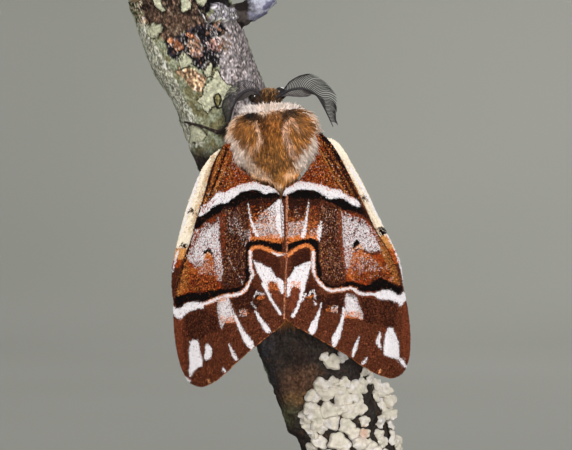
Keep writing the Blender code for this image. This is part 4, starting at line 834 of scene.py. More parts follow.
HINDWING_MARKS = {
    "right": [
        ("cream", 1.0, [(300, 100), (360, 150), (420, 236), (376, 237), (300, 200)]),
        ("tan", 1.0, [(376, 236), (410, 234), (410, 250), (380, 250)]),
        ("pale_orange", 0.5, [(384, 233), (393, 233), (395, 242), (389, 242)]),
        ("rust", 1.0, [(380, 249), (410, 248), (410, 272), (386, 272)]),
        ("orange", 0.4, [(388, 248), (400, 248), (402, 262), (392, 262)]),
        ("maroon", 0.95, [(386, 265), (410, 263), (412, 400), (300, 400), (300, 300)]),
        ("dark", 0.9, [(359.5, 197), (361, 195), (366, 196), (370, 203), (366, 200.5), (364, 202),
            (361.5, 200)]),
        ("black", 0.9, [(374.5, 229), (380, 226), (384, 227.5), (389, 234.5), (384.5, 233.5), (381.5, 237),
            (378, 233)]),
        # Streaks next to the forewing's edge: partly the hindwing's own brownish band, partly painted shade
        # under that edge.
        ("streak", 0.8, [(341, 160, 3.5), (353, 184, 3.5), (366, 210, 3.5), (378, 232, 3.0)]),
        ("tan", 0.35, [(339, 160, 2.0), (351, 184, 2.0), (364, 210, 2.0), (375, 232, 2.0)]),
        ("streak", 0.4, [(346, 160, 1.2), (358, 184, 1.2), (370, 208, 1.2), (381, 230, 1.0)]),
        ("white", 0.9, [(351, 168, 2.6), (359, 182, 2.4), (370, 202, 2.2), (382.5, 224, 1.8)]),
        ("white", 0.9, [(387, 234, 2.0), (394, 247, 2.0), (399, 261, 1.8), (401.5, 272, 1.6),
            (403.5, 288, 1.4)]),
    ],
    "left": [
        ("cream", 1.0, [(300, 100), (205, 150), (160, 240), (180, 249), (300, 249)]),
        ("tan", 1.0, [(165, 248), (200, 248), (200, 261), (165, 261)]),
        ("rust", 1.0, [(165, 259), (200, 259), (200, 275), (165, 275)]),
        ("maroon", 0.95, [(165, 268), (300, 262), (300, 400), (165, 400)]),
        ("dark", 0.9, [(187.5, 215), (189, 209.5), (192, 207.6), (198, 212), (197, 216), (192, 212.5)]),
        ("dark", 0.9, [(180, 247), (181.4, 242.4), (184.4, 243.6), (188.4, 244.4), (186.6, 248.6),
            (183, 247.6)]),
        # Streaks next to the forewing's edge: partly the hindwing's own brownish band, partly painted shade
        # under that edge.
        ("streak", 0.8, [(214, 155, 4.0), (205, 180, 4.0), (198, 204, 4.0), (190, 232, 3.5)]),
        ("tan", 0.4, [(216, 155, 2.0), (208, 178, 2.0), (201, 203, 2.0), (193, 232, 2.0)]),
        ("streak", 0.4, [(206, 160, 1.4), (198, 184, 1.4), (192, 206, 1.4), (185, 232, 1.2)]),
        ("white", 0.9, [(201, 170, 2.2), (194.5, 191, 2.2), (190.5, 203, 2.0), (186, 218, 2.0),
            (181, 234, 1.6)]),
        ("white", 0.9, [(178.6, 250, 1.8), (175.5, 260, 1.8), (173, 270, 1.6)]),
    ],
}

wing_look = marked_material("forewing_scale", 0.8, 5200.0, 0.00001, specular=0.05, variation=0.12)
hind_look = marked_material("hindwing_scale", 0.8, 5200.0, 0.00001, specular=0.05, variation=0.12)

RAGGED = 0.45  # how far, in pixels, a scale's colour may stray from its mark
LOOKS = {"forewing": wing_look, "hindwing": hind_look}


def wing_colours(kind, side, world, chance, ragged, face):
    """The marking of a wing at places on it. The under side is a paler, more orange print of the same."""
    x, y = in_photo(world)
    if kind == "forewing":
        colours = paint(RIGHT_MARKS if side == "right" else LEFT_MARKS, x, y, chance, ragged)
    else:
        colours = paint(HINDWING_MARKS[side], x, y, chance, ragged, ground="rust")
    if face == "under":
        colours = 0.4 * colours + 0.6 * linear((178, 112, 66))
    return colours


def membrane(kind, side, across, along, chance):
    """The wing's own skin: two faces and a rim, with the veins raised."""
    k, t = grid(np.linspace(0, 1, across), np.linspace(0, 1, along))
    upper, normal, _ = wing_surface(WINGS[kind], side, k, t)
    under = upper - normal * FACES_APART
    points = to_world(np.vstack([upper, under]))
    half = len(upper)
    i, j = grid(np.arange(across - 1), np.arange(along - 1))
    a = i * along + j
    b = a + along
    top = np.stack([a, b, b + 1, a + 1], axis=1)
    low = top[:, ::-1] + half
    rim = [i * along for i in range(across)]
    rim += [(across - 1) * along + j for j in range(1, along)]
    rim += [i * along + along - 1 for i in range(across - 2, -1, -1)]
    rim += [j for j in range(along - 2, 0, -1)]
    rim = np.array(rim)
    after = np.roll(rim, -1)
    edge = np.stack([after, rim, half + rim, half + after], axis=1)
    faces = [top, low, edge]
    if side == "left":
        faces = [f[:, ::-1] for f in faces]
    colours = wing_colours(kind, side, points[:half], chance, 0.0, "upper")
    pale = wing_colours(kind, side, points[half:], chance, 0.0, "under")
    new_piece(f"{kind}_{side}_membrane", points, faces, LOOKS[kind],
              replaces=[f"{kind}_{side}"], shades=np.vstack([colours, pale]))


def wing_scales(kind, side, face, rows, spacing, size, chance):
    """Overlapping scales in rows, each a thin wedge that is rooted in the wing and points to its margin."""
    shape = WINGS[kind]
    edge = np.linspace(0, 1, 24)
    ks, ts = [], []
    for row in range(rows):
        t = (row + 0.5) / rows
        line = wing_middle(shape, side, edge, np.full(24, t))
        width = np.linalg.norm(np.diff(line, axis=0), axis=1).sum()
        count = max(2, round(width / spacing))
        ks.append((np.arange(count) + 0.5 * (row % 2) + chance.uniform(0.0, 0.5, count)) / (count + 0.5))
        ts.append(t + chance.uniform(-0.5, 0.5, count) / rows)
    k, t = np.concatenate(ks), np.clip(np.concatenate(ts), 0.0, 0.9995)
    count = len(k)
    points, normal, along = wing_surface(shape, side, k, t)
    if face == "under":
        points = points - normal * FACES_APART
        normal = -normal
    across = np.cross(normal, along)
    turn = chance.normal(0, 0.16, count)[:, None]
    way = unit(along * np.cos(turn) + across * np.sin(turn))
    across = np.cross(normal, way)
    length = size[1] * chance.uniform(0.75, 1.2, count)[:, None]
    width = size[0] * chance.uniform(0.8, 1.25, count)[:, None]
    left = (1 - t[:, None]) * shape["length"] + 0.12
    length = np.minimum(length, left)
    rise = chance.uniform(0.025, 0.07, count)[:, None]
    tip = points + way * length + normal * rise
    wedge = np.stack([points - normal * 0.012, tip + across * width * 0.5, tip - across * width * 0.5,
                      tip - way * length * 0.1 - normal * 0.02], axis=1)
    start = np.arange(count)[:, None] * 4
    triangles = np.vstack([start + np.array(f) for f in ((0, 1, 2), (0, 3, 1), (0, 2, 3), (1, 3, 2))])
    colours = wing_colours(kind, side, to_world(points + way * length * 0.7), chance, RAGGED, face)
    grain = 0.48 - 0.38 * smooth(0.12, 0.45, colours.mean(1))
    colours = colours * np.exp(grain * chance.normal(size=count) - 0.5 * grain**2)[:, None]
    shades = np.repeat(colours[:, None, :], 4, axis=1)
    # Painted shade: each scale's root corner is darkened where it lies under the row of scales before it.
    shades[:, 0] *= 0.75
    flat = wing_flat(shape, k, t) / 34 + 0.06
    offsets = np.array([(0, 0), (0.0015, 0.003), (-0.0015, 0.003), (0, 0.0027)])
    unwrap = (flat[:, None, :] + offsets[None]).reshape(-1, 2)
    new_piece(f"{kind}_{side}_{face}_scales", to_world(wedge.reshape(-1, 3)), [triangles], LOOKS[kind],
              shades=limited(shades).reshape(-1, 3), unwrap=unwrap, soft=False)


for side, seed in (("left", 11), ("right", 21)):
    chance = np.random.default_rng(seed)
    membrane("forewing", side, 64, 100, chance)
    wing_scales("forewing", side, "upper", 318, 0.084, (0.112, 0.178), chance)
    wing_scales("forewing", side, "under", 100, 0.17, (0.26, 0.44), chance)
    membrane("hindwing", side, 44, 64, chance)
    wing_scales("hindwing", side, "upper", 190, 0.115, (0.13, 0.26), chance)
    wing_scales("hindwing", side, "under", 84, 0.17, (0.26, 0.44), chance)


# Hair
HAIR_SHARES = (0.0, 0.34, 0.7, 1.0)
HAIR_THICKNESS = (0.85, 1.0, 0.66)


def in_fur(points, normals, lies, lengths, stands, share):
    """Where a hair has got to at a share of its length."""
    rise = stands * (share - 0.45 * share * share) * 1.25
    run = 0.5 * share + 0.45 * share * share
    return points - normals * 0.08 + (normals * rise[:, None] + lies * run) * lengths[:, None]


def seed_of(name):
    return sum(ord(letter) for letter in name) % 97


def hair_coat(name, roots, normals, lies, lengths, stands, width, first, last, unwrap, look,
              hold=None, locks=0, pull=0.3, depth=0.28):
    """Hairs as thin three-sided spikes that rise off the skin and bend over along its lie."""
    path = [in_fur(roots, normals, lies, lengths, stands, share) for share in HAIR_SHARES]
    count = len(roots)
    if locks:
        heads = np.linspace(0, count - 1, locks).astype(int)
        nearest = np.empty(count, int)
        for start in range(0, count, 2000):
            part = roots[start:start + 2000]
            nearest[start:start + 2000] = ((part[:, None] - roots[heads][None]) ** 2).sum(2).argmin(1)
        tone = np.exp(depth * np.sin(np.arange(locks) * 12.9898 + seed_of(name))[nearest])[:, None]
        first, last = first * tone, last * tone
        for i, share in enumerate(HAIR_SHARES):
            path[i] = path[i] + (path[i][heads][nearest] - path[i]) * pull * share**1.5
    if hold is not None:
        path = [path[0]] + [hold(p) for p in path[1:]]
    points = []
    for i in range(3):
        along = unit(path[i + 1] - path[max(i - 1, 0)])
        side = unit(np.cross(along, normals))
        other = np.cross(side, along)
        for turn in (0.5, 0.5 + 2 * math.pi / 3, 0.5 + 4 * math.pi / 3):
            radius = width[:, None] / 2 * HAIR_THICKNESS[i]
            points.append(path[i] + radius * (side * math.cos(turn) + other * math.sin(turn) * 0.7))
    points.append(path[3])
    points = np.stack(points, axis=1)
    start = np.arange(count)[:, None] * 10
    ends = [(0, 2, 1), (6, 7, 9), (7, 8, 9), (8, 6, 9)]
    sides = [(i + a, i + b, i + 3 + b, i + 3 + a) for i in (0, 3) for a, b in ((0, 1), (1, 2), (2, 0))]
    faces = [np.vstack([start + np.array(corners) for corners in group]) for group in (ends, sides)]
    # Each hair runs from its root colour to its tip colour; the coats pass darker roots as painted shade
    # deep in the fur.
    shades = np.empty((count, 10, 3))
    for i in range(3):
        shades[:, 3 * i:3 * i + 3] = (first * (1 - HAIR_SHARES[i]) + last * HAIR_SHARES[i])[:, None]
    shades[:, 9] = last
    steps = np.array([(s, s) for s in (-0.0015, -0.0005, 0.0005, 0.0015)])
    offsets = np.repeat(steps, (3, 3, 3, 1), axis=0)
    laid = unwrap[:, None, :] + offsets[None]
    new_piece(name, to_world(points.reshape(-1, 3)), faces, look,
              shades=limited(shades).reshape(-1, 3), unwrap=laid.reshape(-1, 2))


def waves(points, seed):
    """Three smooth noises that sway the lie of the hairs."""
    return np.stack([noise(points, seed + a) for a in range(3)], axis=1)


def laid_down(lies, normals, share):
    """The lies with a share of what stands off the skin taken out."""
    return unit(lies - normals * (lies * normals).sum(1, keepdims=True) * share)


def lon_lat(units):
    """An unwrap of a rounded body by its turn and height."""
    turn = np.arctan2(units[:, 0], -units[:, 1]) / (2 * math.pi) + 0.5
    return np.stack([0.03 + 0.94 * turn, 0.03 + 0.94 * (units[:, 2] * 0.5 + 0.5)], axis=1)


def even_units(count, chance):
    """Directions spread evenly over a sphere, a little shaken."""
    height = 1 - 2 * (np.arange(count) + 0.5) / count
    turn = math.pi * (1 + 5**0.5) * (np.arange(count) + 0.5)
    level = np.sqrt(1 - height**2)
    places = np.stack([level * np.cos(turn), level * np.sin(turn), height], axis=1)
    return unit(places + chance.normal(0, 0.6 / math.sqrt(count), (count, 3)))


def spot_at(x, y, spot):
    """How strongly a soft round mark (x, y, x radius, y radius) covers photo places."""
    return np.exp(-(((x - spot[0]) / spot[2]) ** 2 + ((y - spot[1]) / spot[3]) ** 2))


def near_line(line, x, y):
    """How close photo places are to a soft line of (x, y, half width): 1 on it and 0 past its width."""
    best = np.zeros(len(x))
    for far, half_width in off_line(line, x, y):
        best = np.maximum(best, smooth(1.0, 0.35, far / half_width))
    return best


def blended(colours, amount, colour):
    return colours + (linear(colour) - colours) * np.clip(amount, 0, 1)[:, None]


THORAX_CENTRE = np.array((0.2, 2.4, -0.3))
THORAX_RADII = np.array((4.5, 4.2, 4.2))
HEAD_CENTRE = np.array((0.0, 3.1, 4.9))
HEAD_RADII = np.array((1.75, 1.65, 1.55))
EYE_RADIUS = 0.78
EYE_PLACE = (1.6, 3.5, 5.65)
PALP_LINE = [(0.5, 4.2, 5.2), (0.54, 4.9, 5.75), (0.48, 5.4, 6.0)]
SEGMENT = 2.5
ABDOMEN_DEPTH = 3.9
ABDOMEN_STATIONS = [(-2.2, 2.0), (-5.0, 2.2), (-8.0, 2.2), (-11.0, 2.05), (-14.0, 1.85), (-17.0, 1.55),
                    (-19.0, 1.25), (-20.4, 0.8)]


def palp_line(sign, count):
    return curve_through([(x * sign, y, z) for x, y, z in PALP_LINE], count)


def over_wings(points):
    """Points brought back to the outer side of the wings where they would sink into them."""
    limit = roof_at(np.abs(points[:, 0] - RIDGE_TOP[0])) - 0.5
    below = smooth(2.5, 0.3, points[:, 2])
    held = points.copy()
    held[:, 1] = np.where(below > 0, np.minimum(points[:, 1], limit + (1 - below) * 5), points[:, 1])
    return held


def under_wings(points):
    """Points brought back to the belly side of the wings where they would sink into them."""
    out = np.abs(points[:, 0] - ridge_at(-points[:, 2]))
    limit = roof_at(out) + np.where(out > 2.7, HINDWING_DROP, 0.0) + 0.45
    held = points.copy()
    held[:, 1] = np.maximum(points[:, 1], limit)
    return held


def under_wings_low(points):
    return np.where(points[:, 2:3] < 1.0, under_wings(points), points)


COLLAR = [(232, 112), (232, 92), (304, 92), (304, 107), (300, 106.5), (294, 107), (288, 109), (282, 110.5),
          (276, 109.5), (272, 110), (268, 112.5), (264, 115.5), (260, 114.5), (256, 111.5), (250, 110.5),
          (244, 111.5), (238, 112.5)]
LOBE_LEFT = ((100, 112, 148, 158, 166, 176), (262, 262, 261, 254, 250, 248))
LOBE_RIGHT = ((100, 108, 140, 150, 160, 172), (283, 283, 285, 290, 298, 304))
FRINGES = [
    # soft lines of (x, y, half width), strength, colour
    ([(240, 111, 1.5), (250, 110, 1.5), (258, 112, 3), (264, 114, 3.5), (270, 111, 3), (284, 109, 1.5)],
        0.85, (232, 204, 180)),
    ([(237, 113, 3), (229, 124, 4.5), (224, 134, 8), (226, 144, 10)], 0.9, (250, 220, 192)),
    ([(226, 144, 10), (233, 154, 12), (241, 162, 12), (249, 168, 9)], 0.97, (255, 236, 222)),
    ([(249, 168, 8), (256, 173, 7), (263, 178, 5), (270, 181, 3)], 0.8, (236, 204, 176)),
    ([(308, 109, 1.5), (316, 117, 2.5), (322, 128, 5), (322, 138, 8)], 0.85, (250, 230, 212)),
    ([(322, 138, 8), (318, 148, 9), (311, 157, 11), (303, 164, 9), (298, 170, 4)], 0.97, (255, 238, 224)),
    ([(298, 172, 4), (292, 176, 5), (287, 180, 4)], 0.6, (226, 190, 156)),
    ([(287, 124, 4), (286, 134, 5), (288, 144, 5.5), (292, 154, 5), (296, 160, 4)], 0.8, (188, 152, 128)),
    ([(291, 120, 3), (296, 125, 3), (300, 133, 2.5)], 0.5, (214, 178, 152)),
    ([(254, 124, 2.5), (258, 132, 3.5), (260, 142, 4), (256, 150, 4)], 0.8, (212, 174, 146)),
    ([(246, 152, 8), (250, 160, 7)], 0.55, (214, 176, 146)),
    ([(271, 186, 3), (276, 190, 3), (284, 192, 3)], 0.55, (232, 204, 176)),
]
SHOULDER_FRINGES = 7  # the first of them, which run from the collar round the shoulders
FUR_SPOTS = [
    # place and radii, strength, colour
    ((266, 130, 6, 22), 0.8, (104, 54, 20)),
    ((277, 130, 6, 22), 0.7, (156, 92, 38)),
    ((274, 158, 18, 14), 0.7, (196, 134, 70)),
    ((308, 122, 9, 12), 0.6, (196, 130, 66)),
    ((236, 126, 7, 10), 0.5, (196, 130, 66)),
    ((249, 117, 10.5, 6.0), 1.5, (36, 22, 11)),
    ((258, 119, 4.5, 5), 0.9, (50, 30, 16)),
    ((263, 124, 2.6, 10), 0.85, (66, 36, 16)),
    ((263, 142, 2.4, 12), 0.6, (84, 50, 26)),
    ((294, 113, 11, 5.5), 0.95, (54, 30, 14)),
    ((285, 117, 4.0, 8), 1.0, (46, 26, 12)),
    ((283, 130, 2.2, 9), 0.7, (84, 48, 22)),
    ((297, 124, 4, 5), 0.6, (84, 48, 22)),
    ((243, 138, 4, 8), 0.35, (120, 72, 36)),
    ((256, 156, 5, 6), 0.6, (92, 56, 28)),
    ((290, 154, 4, 6), 0.6, (96, 58, 28)),
    ((268, 150, 3, 8), 0.5, (110, 62, 28)),
    ((276, 176, 3.5, 5), 0.9, (74, 56, 30)),
    ((282, 186, 4, 5), 0.4, (120, 88, 50)),
]


def thorax_colours(world, chance):
    """Root and tip colours of the thorax's fur at photo places."""
    x, y = in_photo(world)
    x = x + chance.normal(0, 1.0, len(x))
    y = y + chance.normal(0, 1.0, len(x))
    wave = noise(world * 0.9, 31)
    fine = noise(world * 3.1, 32)
    tips = np.tile(linear((184, 122, 60)), (len(x), 1))
    for spot, amount, colour in FUR_SPOTS:
        tips = blended(tips, amount * spot_at(x, y, spot), colour)
    pale = np.zeros(len(x))
    for line, amount, colour in FRINGES:
        here = near_line(line, x, y)
        tips = blended(tips, amount * here, colour)
        pale = np.maximum(pale, amount * here)
    tips = tips * np.exp((0.2 * wave + 0.2 * fine) * (1 - 0.8 * pale))[:, None]
    # Painted light: the pale fringe is brightened for the light that shines through its hairs.
    tips = tips * (1 + 0.3 * pale)[:, None]
    # Painted shade: the roots are darker than the tips for the shade deep in the fur, less so where it is
    # pale.
    roots = tips * (0.26 + 0.74 * pale)[:, None]
    return limited(roots), limited(tips)


def thorax_form(units):
    """The thorax's reach each way as a share of its radii: full at the shoulders, drawn in below."""
    corner = 4 * units[:, 0] ** 2 * units[:, 2] ** 2 * (units[:, 2] > 0)
    return (1 + 0.17 * corner - 0.11 * smooth(-0.2, -1.0, units[:, 2]))[:, None]


def thorax_ways(x, y):
    """The way the fur lies at photo places: a fan from each shoulder, and down the middle to a tail."""
    left_edge = np.interp(y, *LOBE_LEFT)
    right_edge = np.interp(y, *LOBE_RIGHT)
    left = smooth(left_edge + 3, left_edge - 3, x)
    right = smooth(right_edge - 3, right_edge + 3, x)
    tail = smooth(160, 174, y) * smooth(24, 10, np.abs(x - 278))
    flare = smooth(142, 158, y) * (1 - tail)
    level = np.zeros(len(x))
    fans = (
        (left, (x - 256) * 1.1, y - 104),
        (right, (x - 291) * 1.1, y - 102),
        ((1 - left - right) * (1 - tail), (x - 275) * (0.1 + 0.9 * flare), y - 96),
        ((1 - left - right) * tail, 0.6 * (280 - x), level + 11),
    )
    total = np.zeros((len(x), 3))
    for weight, dx, dy in fans:
        total += weight[:, None] * unit(np.stack([dx, level, -dy], axis=1))
    return unit(total)


RUFF_STEPS = 120
RUFF_LINE = curve_through([(-3.15, 2.35, 3.0), (-2.85, 2.05, 3.35), (-2.2, 1.8, 3.58), (-1.0, 1.55, 3.5),
                           (0.44, 1.5, 3.58), (1.8, 1.7, 3.48), (2.8, 2.0, 3.25), (3.5, 2.3, 2.95),
                           (3.9, 2.6, 2.65)], RUFF_STEPS)
RUFF_RADII = np.interp(np.linspace(0, 1, RUFF_STEPS), (0, 0.12, 0.35, 0.6, 0.85, 1),
                       (0.35, 0.5, 0.55, 0.48, 0.36, 0.2))


def thorax_coat(name, count, belly, seed, width, reach_by, pale_only=False):
    """A layer of the thorax's fur: over its back, over its belly, or of the back's pale fringe alone."""
    chance = np.random.default_rng(seed)
    units = even_units(count * 2, chance)
    roots = THORAX_CENTRE + units * (THORAX_RADII - 0.25) * thorax_form(units)
    keep = (roots[:, 1] > 2.7) if belly else (roots[:, 1] < 3.0)
    keep &= units[:, 2] < 0.93
    at_wings = (roots[:, 1] > 1.2) & (roots[:, 1] < 3.3) & (np.abs(roots[:, 0]) > 2.5) & (roots[:, 2] < 0.9)
    keep &= ~at_wings
    x, y = in_photo(to_world(roots))
    keep &= ~inside(COLLAR, x + chance.normal(0, 0.6, len(x)), y + 0.5 + chance.normal(0, 0.6, len(x)))
    if pale_only:
        pale_lines = [line for line, amount, _ in FRINGES[:SHOULDER_FRINGES] if amount > 0.7]
        keep &= np.max([near_line(line, x, y) for line in pale_lines], axis=0) > 0.2
    units, roots = units[keep], roots[keep]
    normals = unit(units / THORAX_RADII)
    heights = (-1.0, -0.82, -0.58, -0.3, 0.0, 0.3, 0.58, 0.8, 1.0)
    reach = np.interp(units[:, 2], heights, (0.85, 0.9, 1.15, 1.4, 1.5, 1.5, 1.4, 1.2, 1.1)) * reach_by
    x, y = in_photo(to_world(roots))
    edge = smooth(0.55, 0.92, np.hypot(units[:, 0], units[:, 2]))
    if belly:
        level = unit(np.stack([units[:, 0], units[:, 1], np.zeros(len(units))], axis=1))
        lies = level * 0.4 + np.array((0, 0, -1.0))
        reach = reach * 1.2
    else:
        lies = thorax_ways(x, y)
        below = smooth(-0.4, -0.75, units[:, 2])
        reach = reach * (1 + 0.5 * below * smooth(28, 16, np.abs(x - 276)))
        reach = reach * (1 + 0.3 * spot_at(x, y, (279, 172, 4.5, 8)))
        ends = 0.28 * spot_at(x, y, (252, 164, 14, 10)), 0.18 * spot_at(x, y, (304, 160, 12, 10))
        reach = reach * (1 - ends[0] - ends[1])
        valley = np.maximum(spot_at(x, y, (263, 128, 2.4, 22)), spot_at(x, y, (284, 122, 2.4, 16)))
        reach = reach * (1 - 0.45 * valley)
    lies = unit(lies + 0.26 * waves(roots * 1.4 + 7, seed) + chance.normal(0, 0.16, lies.shape))
    lies = laid_down(lies, normals, 0.9 - 0.5 * edge[:, None] * (not belly))
    lengths = reach * chance.uniform(0.6, 1.05, len(roots)) * (1 + 0.2 * (chance.random(len(roots)) < 0.1))
    stands = chance.uniform(0.45, 0.95, len(roots)) * (1 + 0.35 * edge)
    seen = in_fur(roots, normals, lies, lengths, stands, 0.8)
    first, last = thorax_colours(to_world(seen), chance)
    light = smooth(0.25, 0.6, last.mean(1))
    shake = np.exp((0.42 - 0.34 * light) * chance.normal(size=len(roots)))[:, None]
    widths = width * chance.uniform(0.75, 1.25, len(roots))
    hair_coat(name, roots, normals, lies, lengths, stands, widths, first * shake, last * shake,
              lon_lat(units), fur_look, hold=under_wings_low if belly else over_wings,
              locks=len(roots) // 6, pull=0.6, depth=0.5 - 0.4 * light)


def collar_coat():
    """The thick pale ruff between the head and the shoulders."""
    chance = np.random.default_rng(44)
    count = 6200
    last = RUFF_STEPS - 1
    at = chance.uniform(0, last - 0.1, count)
    step = at.astype(int)
    turn = chance.uniform(-math.pi, math.pi, count)
    along = unit(RUFF_LINE[np.minimum(step + 3, last)] - RUFF_LINE[np.maximum(step - 2, 0)])
    up = unit(np.array((0, 0, 1.0)) - along * along[:, 2:3])
    end = smooth(0.9, 1.0, np.abs(at / (last / 2) - 1)) * np.sign(at - last / 2)
    round_it = up * np.cos(turn)[:, None] + np.cross(along, up) * np.sin(turn)[:, None]
    normals = unit(round_it + along * end[:, None])
    place = RUFF_LINE[step] + (RUFF_LINE[step + 1] - RUFF_LINE[step]) * (at - step)[:, None]
    roots = place + normals * (RUFF_RADII[step] - 0.15)[:, None]
    x, y = in_photo(to_world(roots))
    lies = np.stack([(x - 271) * 0.022, np.full(count, -0.3), np.ones(count)], axis=1)
    lies = unit(lies + 0.3 * waves(roots * 1.6 + 3, 140) + chance.normal(0, 0.14, lies.shape))
    lies = laid_down(lies, normals, 0.5)
    reach = np.interp(at, (0, 30, 60, 90, last), (1.05, 0.85, 0.78, 0.85, 0.9))
    lengths = chance.uniform(0.4, 1.0, count) * reach
    stands = chance.uniform(0.4, 0.8, count)
    x, y = in_photo(to_world(in_fur(roots, normals, lies, lengths, stands, 0.6)))
    tips = np.tile(linear((246, 230, 220)), (count, 1))
    tips = blended(tips, 0.6 * smooth(262, 252, x) * smooth(98, 104, y), (222, 216, 214))
    tips = blended(tips, 0.5 * spot_at(x, y, (270, 106, 14, 5)), (244, 216, 194))
    tips = tips * np.exp(chance.normal(0, 0.16, count) + 0.12 * noise(roots * 3, 143))[:, None]
    laid = np.stack([0.04 + 0.92 * at / last, 0.5 + turn / (2.2 * math.pi)], axis=1)
    widths = 0.085 * chance.uniform(0.75, 1.25, count)
    # Painted shade: the roots are darker than the tips for the shade deep in the ruff.
    hair_coat("collar_coat", roots, normals, lies, lengths, stands, widths, tips * 0.72, tips, laid,
              fur_look, locks=count // 8, pull=0.5, depth=0.24)


def head_coat():
    """The head's fur, which leaves the eyes free and is darkest low down and at the sides."""
    chance = np.random.default_rng(41)
    units = even_units(4600, chance)
    roots = HEAD_CENTRE + units * (HEAD_RADII - 0.36)
    keep = units[:, 2] > -0.55
    for sign in (-1, 1):
        eye = np.array((EYE_PLACE[0] * sign, EYE_PLACE[1], EYE_PLACE[2]))
        keep &= np.linalg.norm(roots - eye, axis=1) > EYE_RADIUS + 0.1
    units, roots = units[keep], roots[keep]
    normals = unit(units / HEAD_RADII)
    lies = np.stack([0.3 * units[:, 0] + 0.3, np.full(len(units), -0.25), np.ones(len(units))], axis=1)
    lies = unit(lies + chance.normal(0, 0.16, lies.shape))
    lies = laid_down(lies, normals, 0.6)
    reach = np.interp(units[:, 2], (-1, 0.2, 1), (1.0, 0.9, 0.5))
    lengths = chance.uniform(0.55, 1.05, len(roots)) * reach
    stands = chance.uniform(0.3, 0.7, len(roots))
    x, y = in_photo(to_world(in_fur(roots, normals, lies, lengths, stands, 0.75)))
    tips = np.tile(linear((172, 120, 64)), (len(x), 1))
    dark = smooth(88.5, 92.0, y + 1.5 * chance.normal(size=len(x))) * (chance.random(len(x)) < 0.85)
    dark = np.maximum(dark, chance.random(len(x)) < 0.22)
    dark = np.maximum(dark, smooth(8.0, 11.0, np.abs(x - 271)))
    tips = blended(tips, 0.7 * (chance.random(len(x)) < 0.3), (214, 168, 112))
    tips = blended(tips, 0.92 * dark, (44, 27, 17))
    tips = tips * np.exp(chance.normal(0, 0.2, len(x)))[:, None]
    widths = 0.06 * chance.uniform(0.8, 1.2, len(roots))
    # Painted shade: the roots are darker than the tips for the shade deep in the fur.
    hair_coat("head_coat", roots, normals, lies, lengths, stands, widths, tips * 0.5, tips, lon_lat(units),
              fur_look, locks=280, pull=0.35, depth=0.4)


def palp_coat():
    """The short brush of the two palps below the face."""
    chance = np.random.default_rng(43)
    parts = []
    for sign in (-1, 1):
        line = palp_line(sign, 60)
        at = chance.integers(2, 52, 500)
        turn = chance.uniform(0, 2 * math.pi, 500)
        along = unit(line[at + 1] - line[at - 1])
        side = unit(np.cross(along, np.array((1.0, 0.0, 0.1))))
        normal = side * np.cos(turn)[:, None] + np.cross(along, side) * np.sin(turn)[:, None]
        radius = np.interp(at / 59, (0, 0.5, 1), (0.45, 0.36, 0.2))[:, None]
        laid = np.stack([0.05 + (0.45 if sign > 0 else 0) + turn / 16, 0.05 + at / 70], axis=1)
        parts.append((line[at] + normal * radius, normal, unit(along + 0.15 * normal), laid))
    roots, normals, lies, laid = (np.vstack(p) for p in zip(*parts))
    count = len(roots)
    tips = linear((140, 88, 48)) * np.exp(chance.normal(0, 0.2, count))[:, None]
    lengths = chance.uniform(0.4, 0.75, count)
    stands = chance.uniform(0.2, 0.5, count)
    widths = np.full(count, 0.055)
    # Painted shade: the roots are darker than the tips for the shade deep in the brush.
    hair_coat("palp_coat", roots, normals, lies, lengths, stands, widths, tips * 0.5, tips, laid, fur_look)


def abdomen_at(z):
    """The middle and radius of the abdomen at heights."""
    zs, rs = (np.array([s[i] for s in ABDOMEN_STATIONS])[::-1] for i in (0, 1))
    middle = np.stack([ridge_at(-z) * 0.8, np.full(len(z), ABDOMEN_DEPTH), z], axis=1)
    return middle, np.interp(z, zs, rs)


def abdomen_coat():
    """The abdomen's fur, ringed a little darker at its segments, and the tuft at its tip."""
    chance = np.random.default_rng(47)
    count = 7600
    z = -3.4 - 16.8 * ((np.arange(count) + chance.random(count)) / count) ** 0.9
    turn = chance.uniform(-math.pi, math.pi, count)
    middle, radius = abdomen_at(z)
    normals = np.stack([np.sin(turn), -np.cos(turn), np.zeros(count)], axis=1)
    roots = middle + normals * (radius[:, None] - 0.1)
    end = smooth(-15.5, -19.5, z)
    aside = (0.1 - 0.3 * end) * normals[:, 0] - 0.12 * end
    lies = np.stack([aside, 0.1 * normals[:, 1], -np.ones(count)], axis=1)
    lies = unit(lies + 0.2 * waves(roots * 0.9, 60) + chance.normal(0, 0.1, lies.shape))
    lengths = (1.6 + 2.6 * end) * chance.uniform(0.5, 1.05, count)
    tips = np.tile(linear((170, 112, 60)), (count, 1))
    tips = blended(tips, 0.5 * (0.5 + 0.5 * np.sin(z * 2 * math.pi / SEGMENT)), (104, 62, 34))
    tips = blended(tips, 0.9 * end, (150, 94, 38))
    tips = tips * (np.exp(chance.normal(0, 0.16, count)) * (1 + 0.12 * noise(roots, 66)))[:, None]
    laid = np.stack([0.03 + 0.94 * (turn / (2 * math.pi) + 0.5), 0.03 + 0.94 * (-z - 3) / 18.5], axis=1)
    stands = chance.uniform(0.15, 0.45, count)
    widths = 0.09 * chance.uniform(0.75, 1.25, count)
    # Painted shade: the roots are darker than the tips for the shade deep in the fur.
    hair_coat("abdomen_coat", roots, normals, lies, lengths, stands, widths, tips * 0.4, tips, laid,
              fur_look, hold=under_wings, locks=640, pull=0.35, depth=0.4)


# Branch
BRANCH_MIDDLE = [(9.8, 11.8, 12.5), (4.7, 8.2, 26.0), (2.2, 6.5, 32.4), (-3.0, 2.5, 47.0),
                 (-8.2, -1.4, 61.7), (-10.9, -3.1, 67.9), (-14.4, -5.3, 76.0)]
BRANCH_RADIUS = 5.7
STUB_ROOT_HEIGHT = 69.0
STUB_TIP = (-1.6, -5.6, 74.4)
STUB_RADIUS = 1.5
BRANCH_LINE = curve_through(BRANCH_MIDDLE, 401)


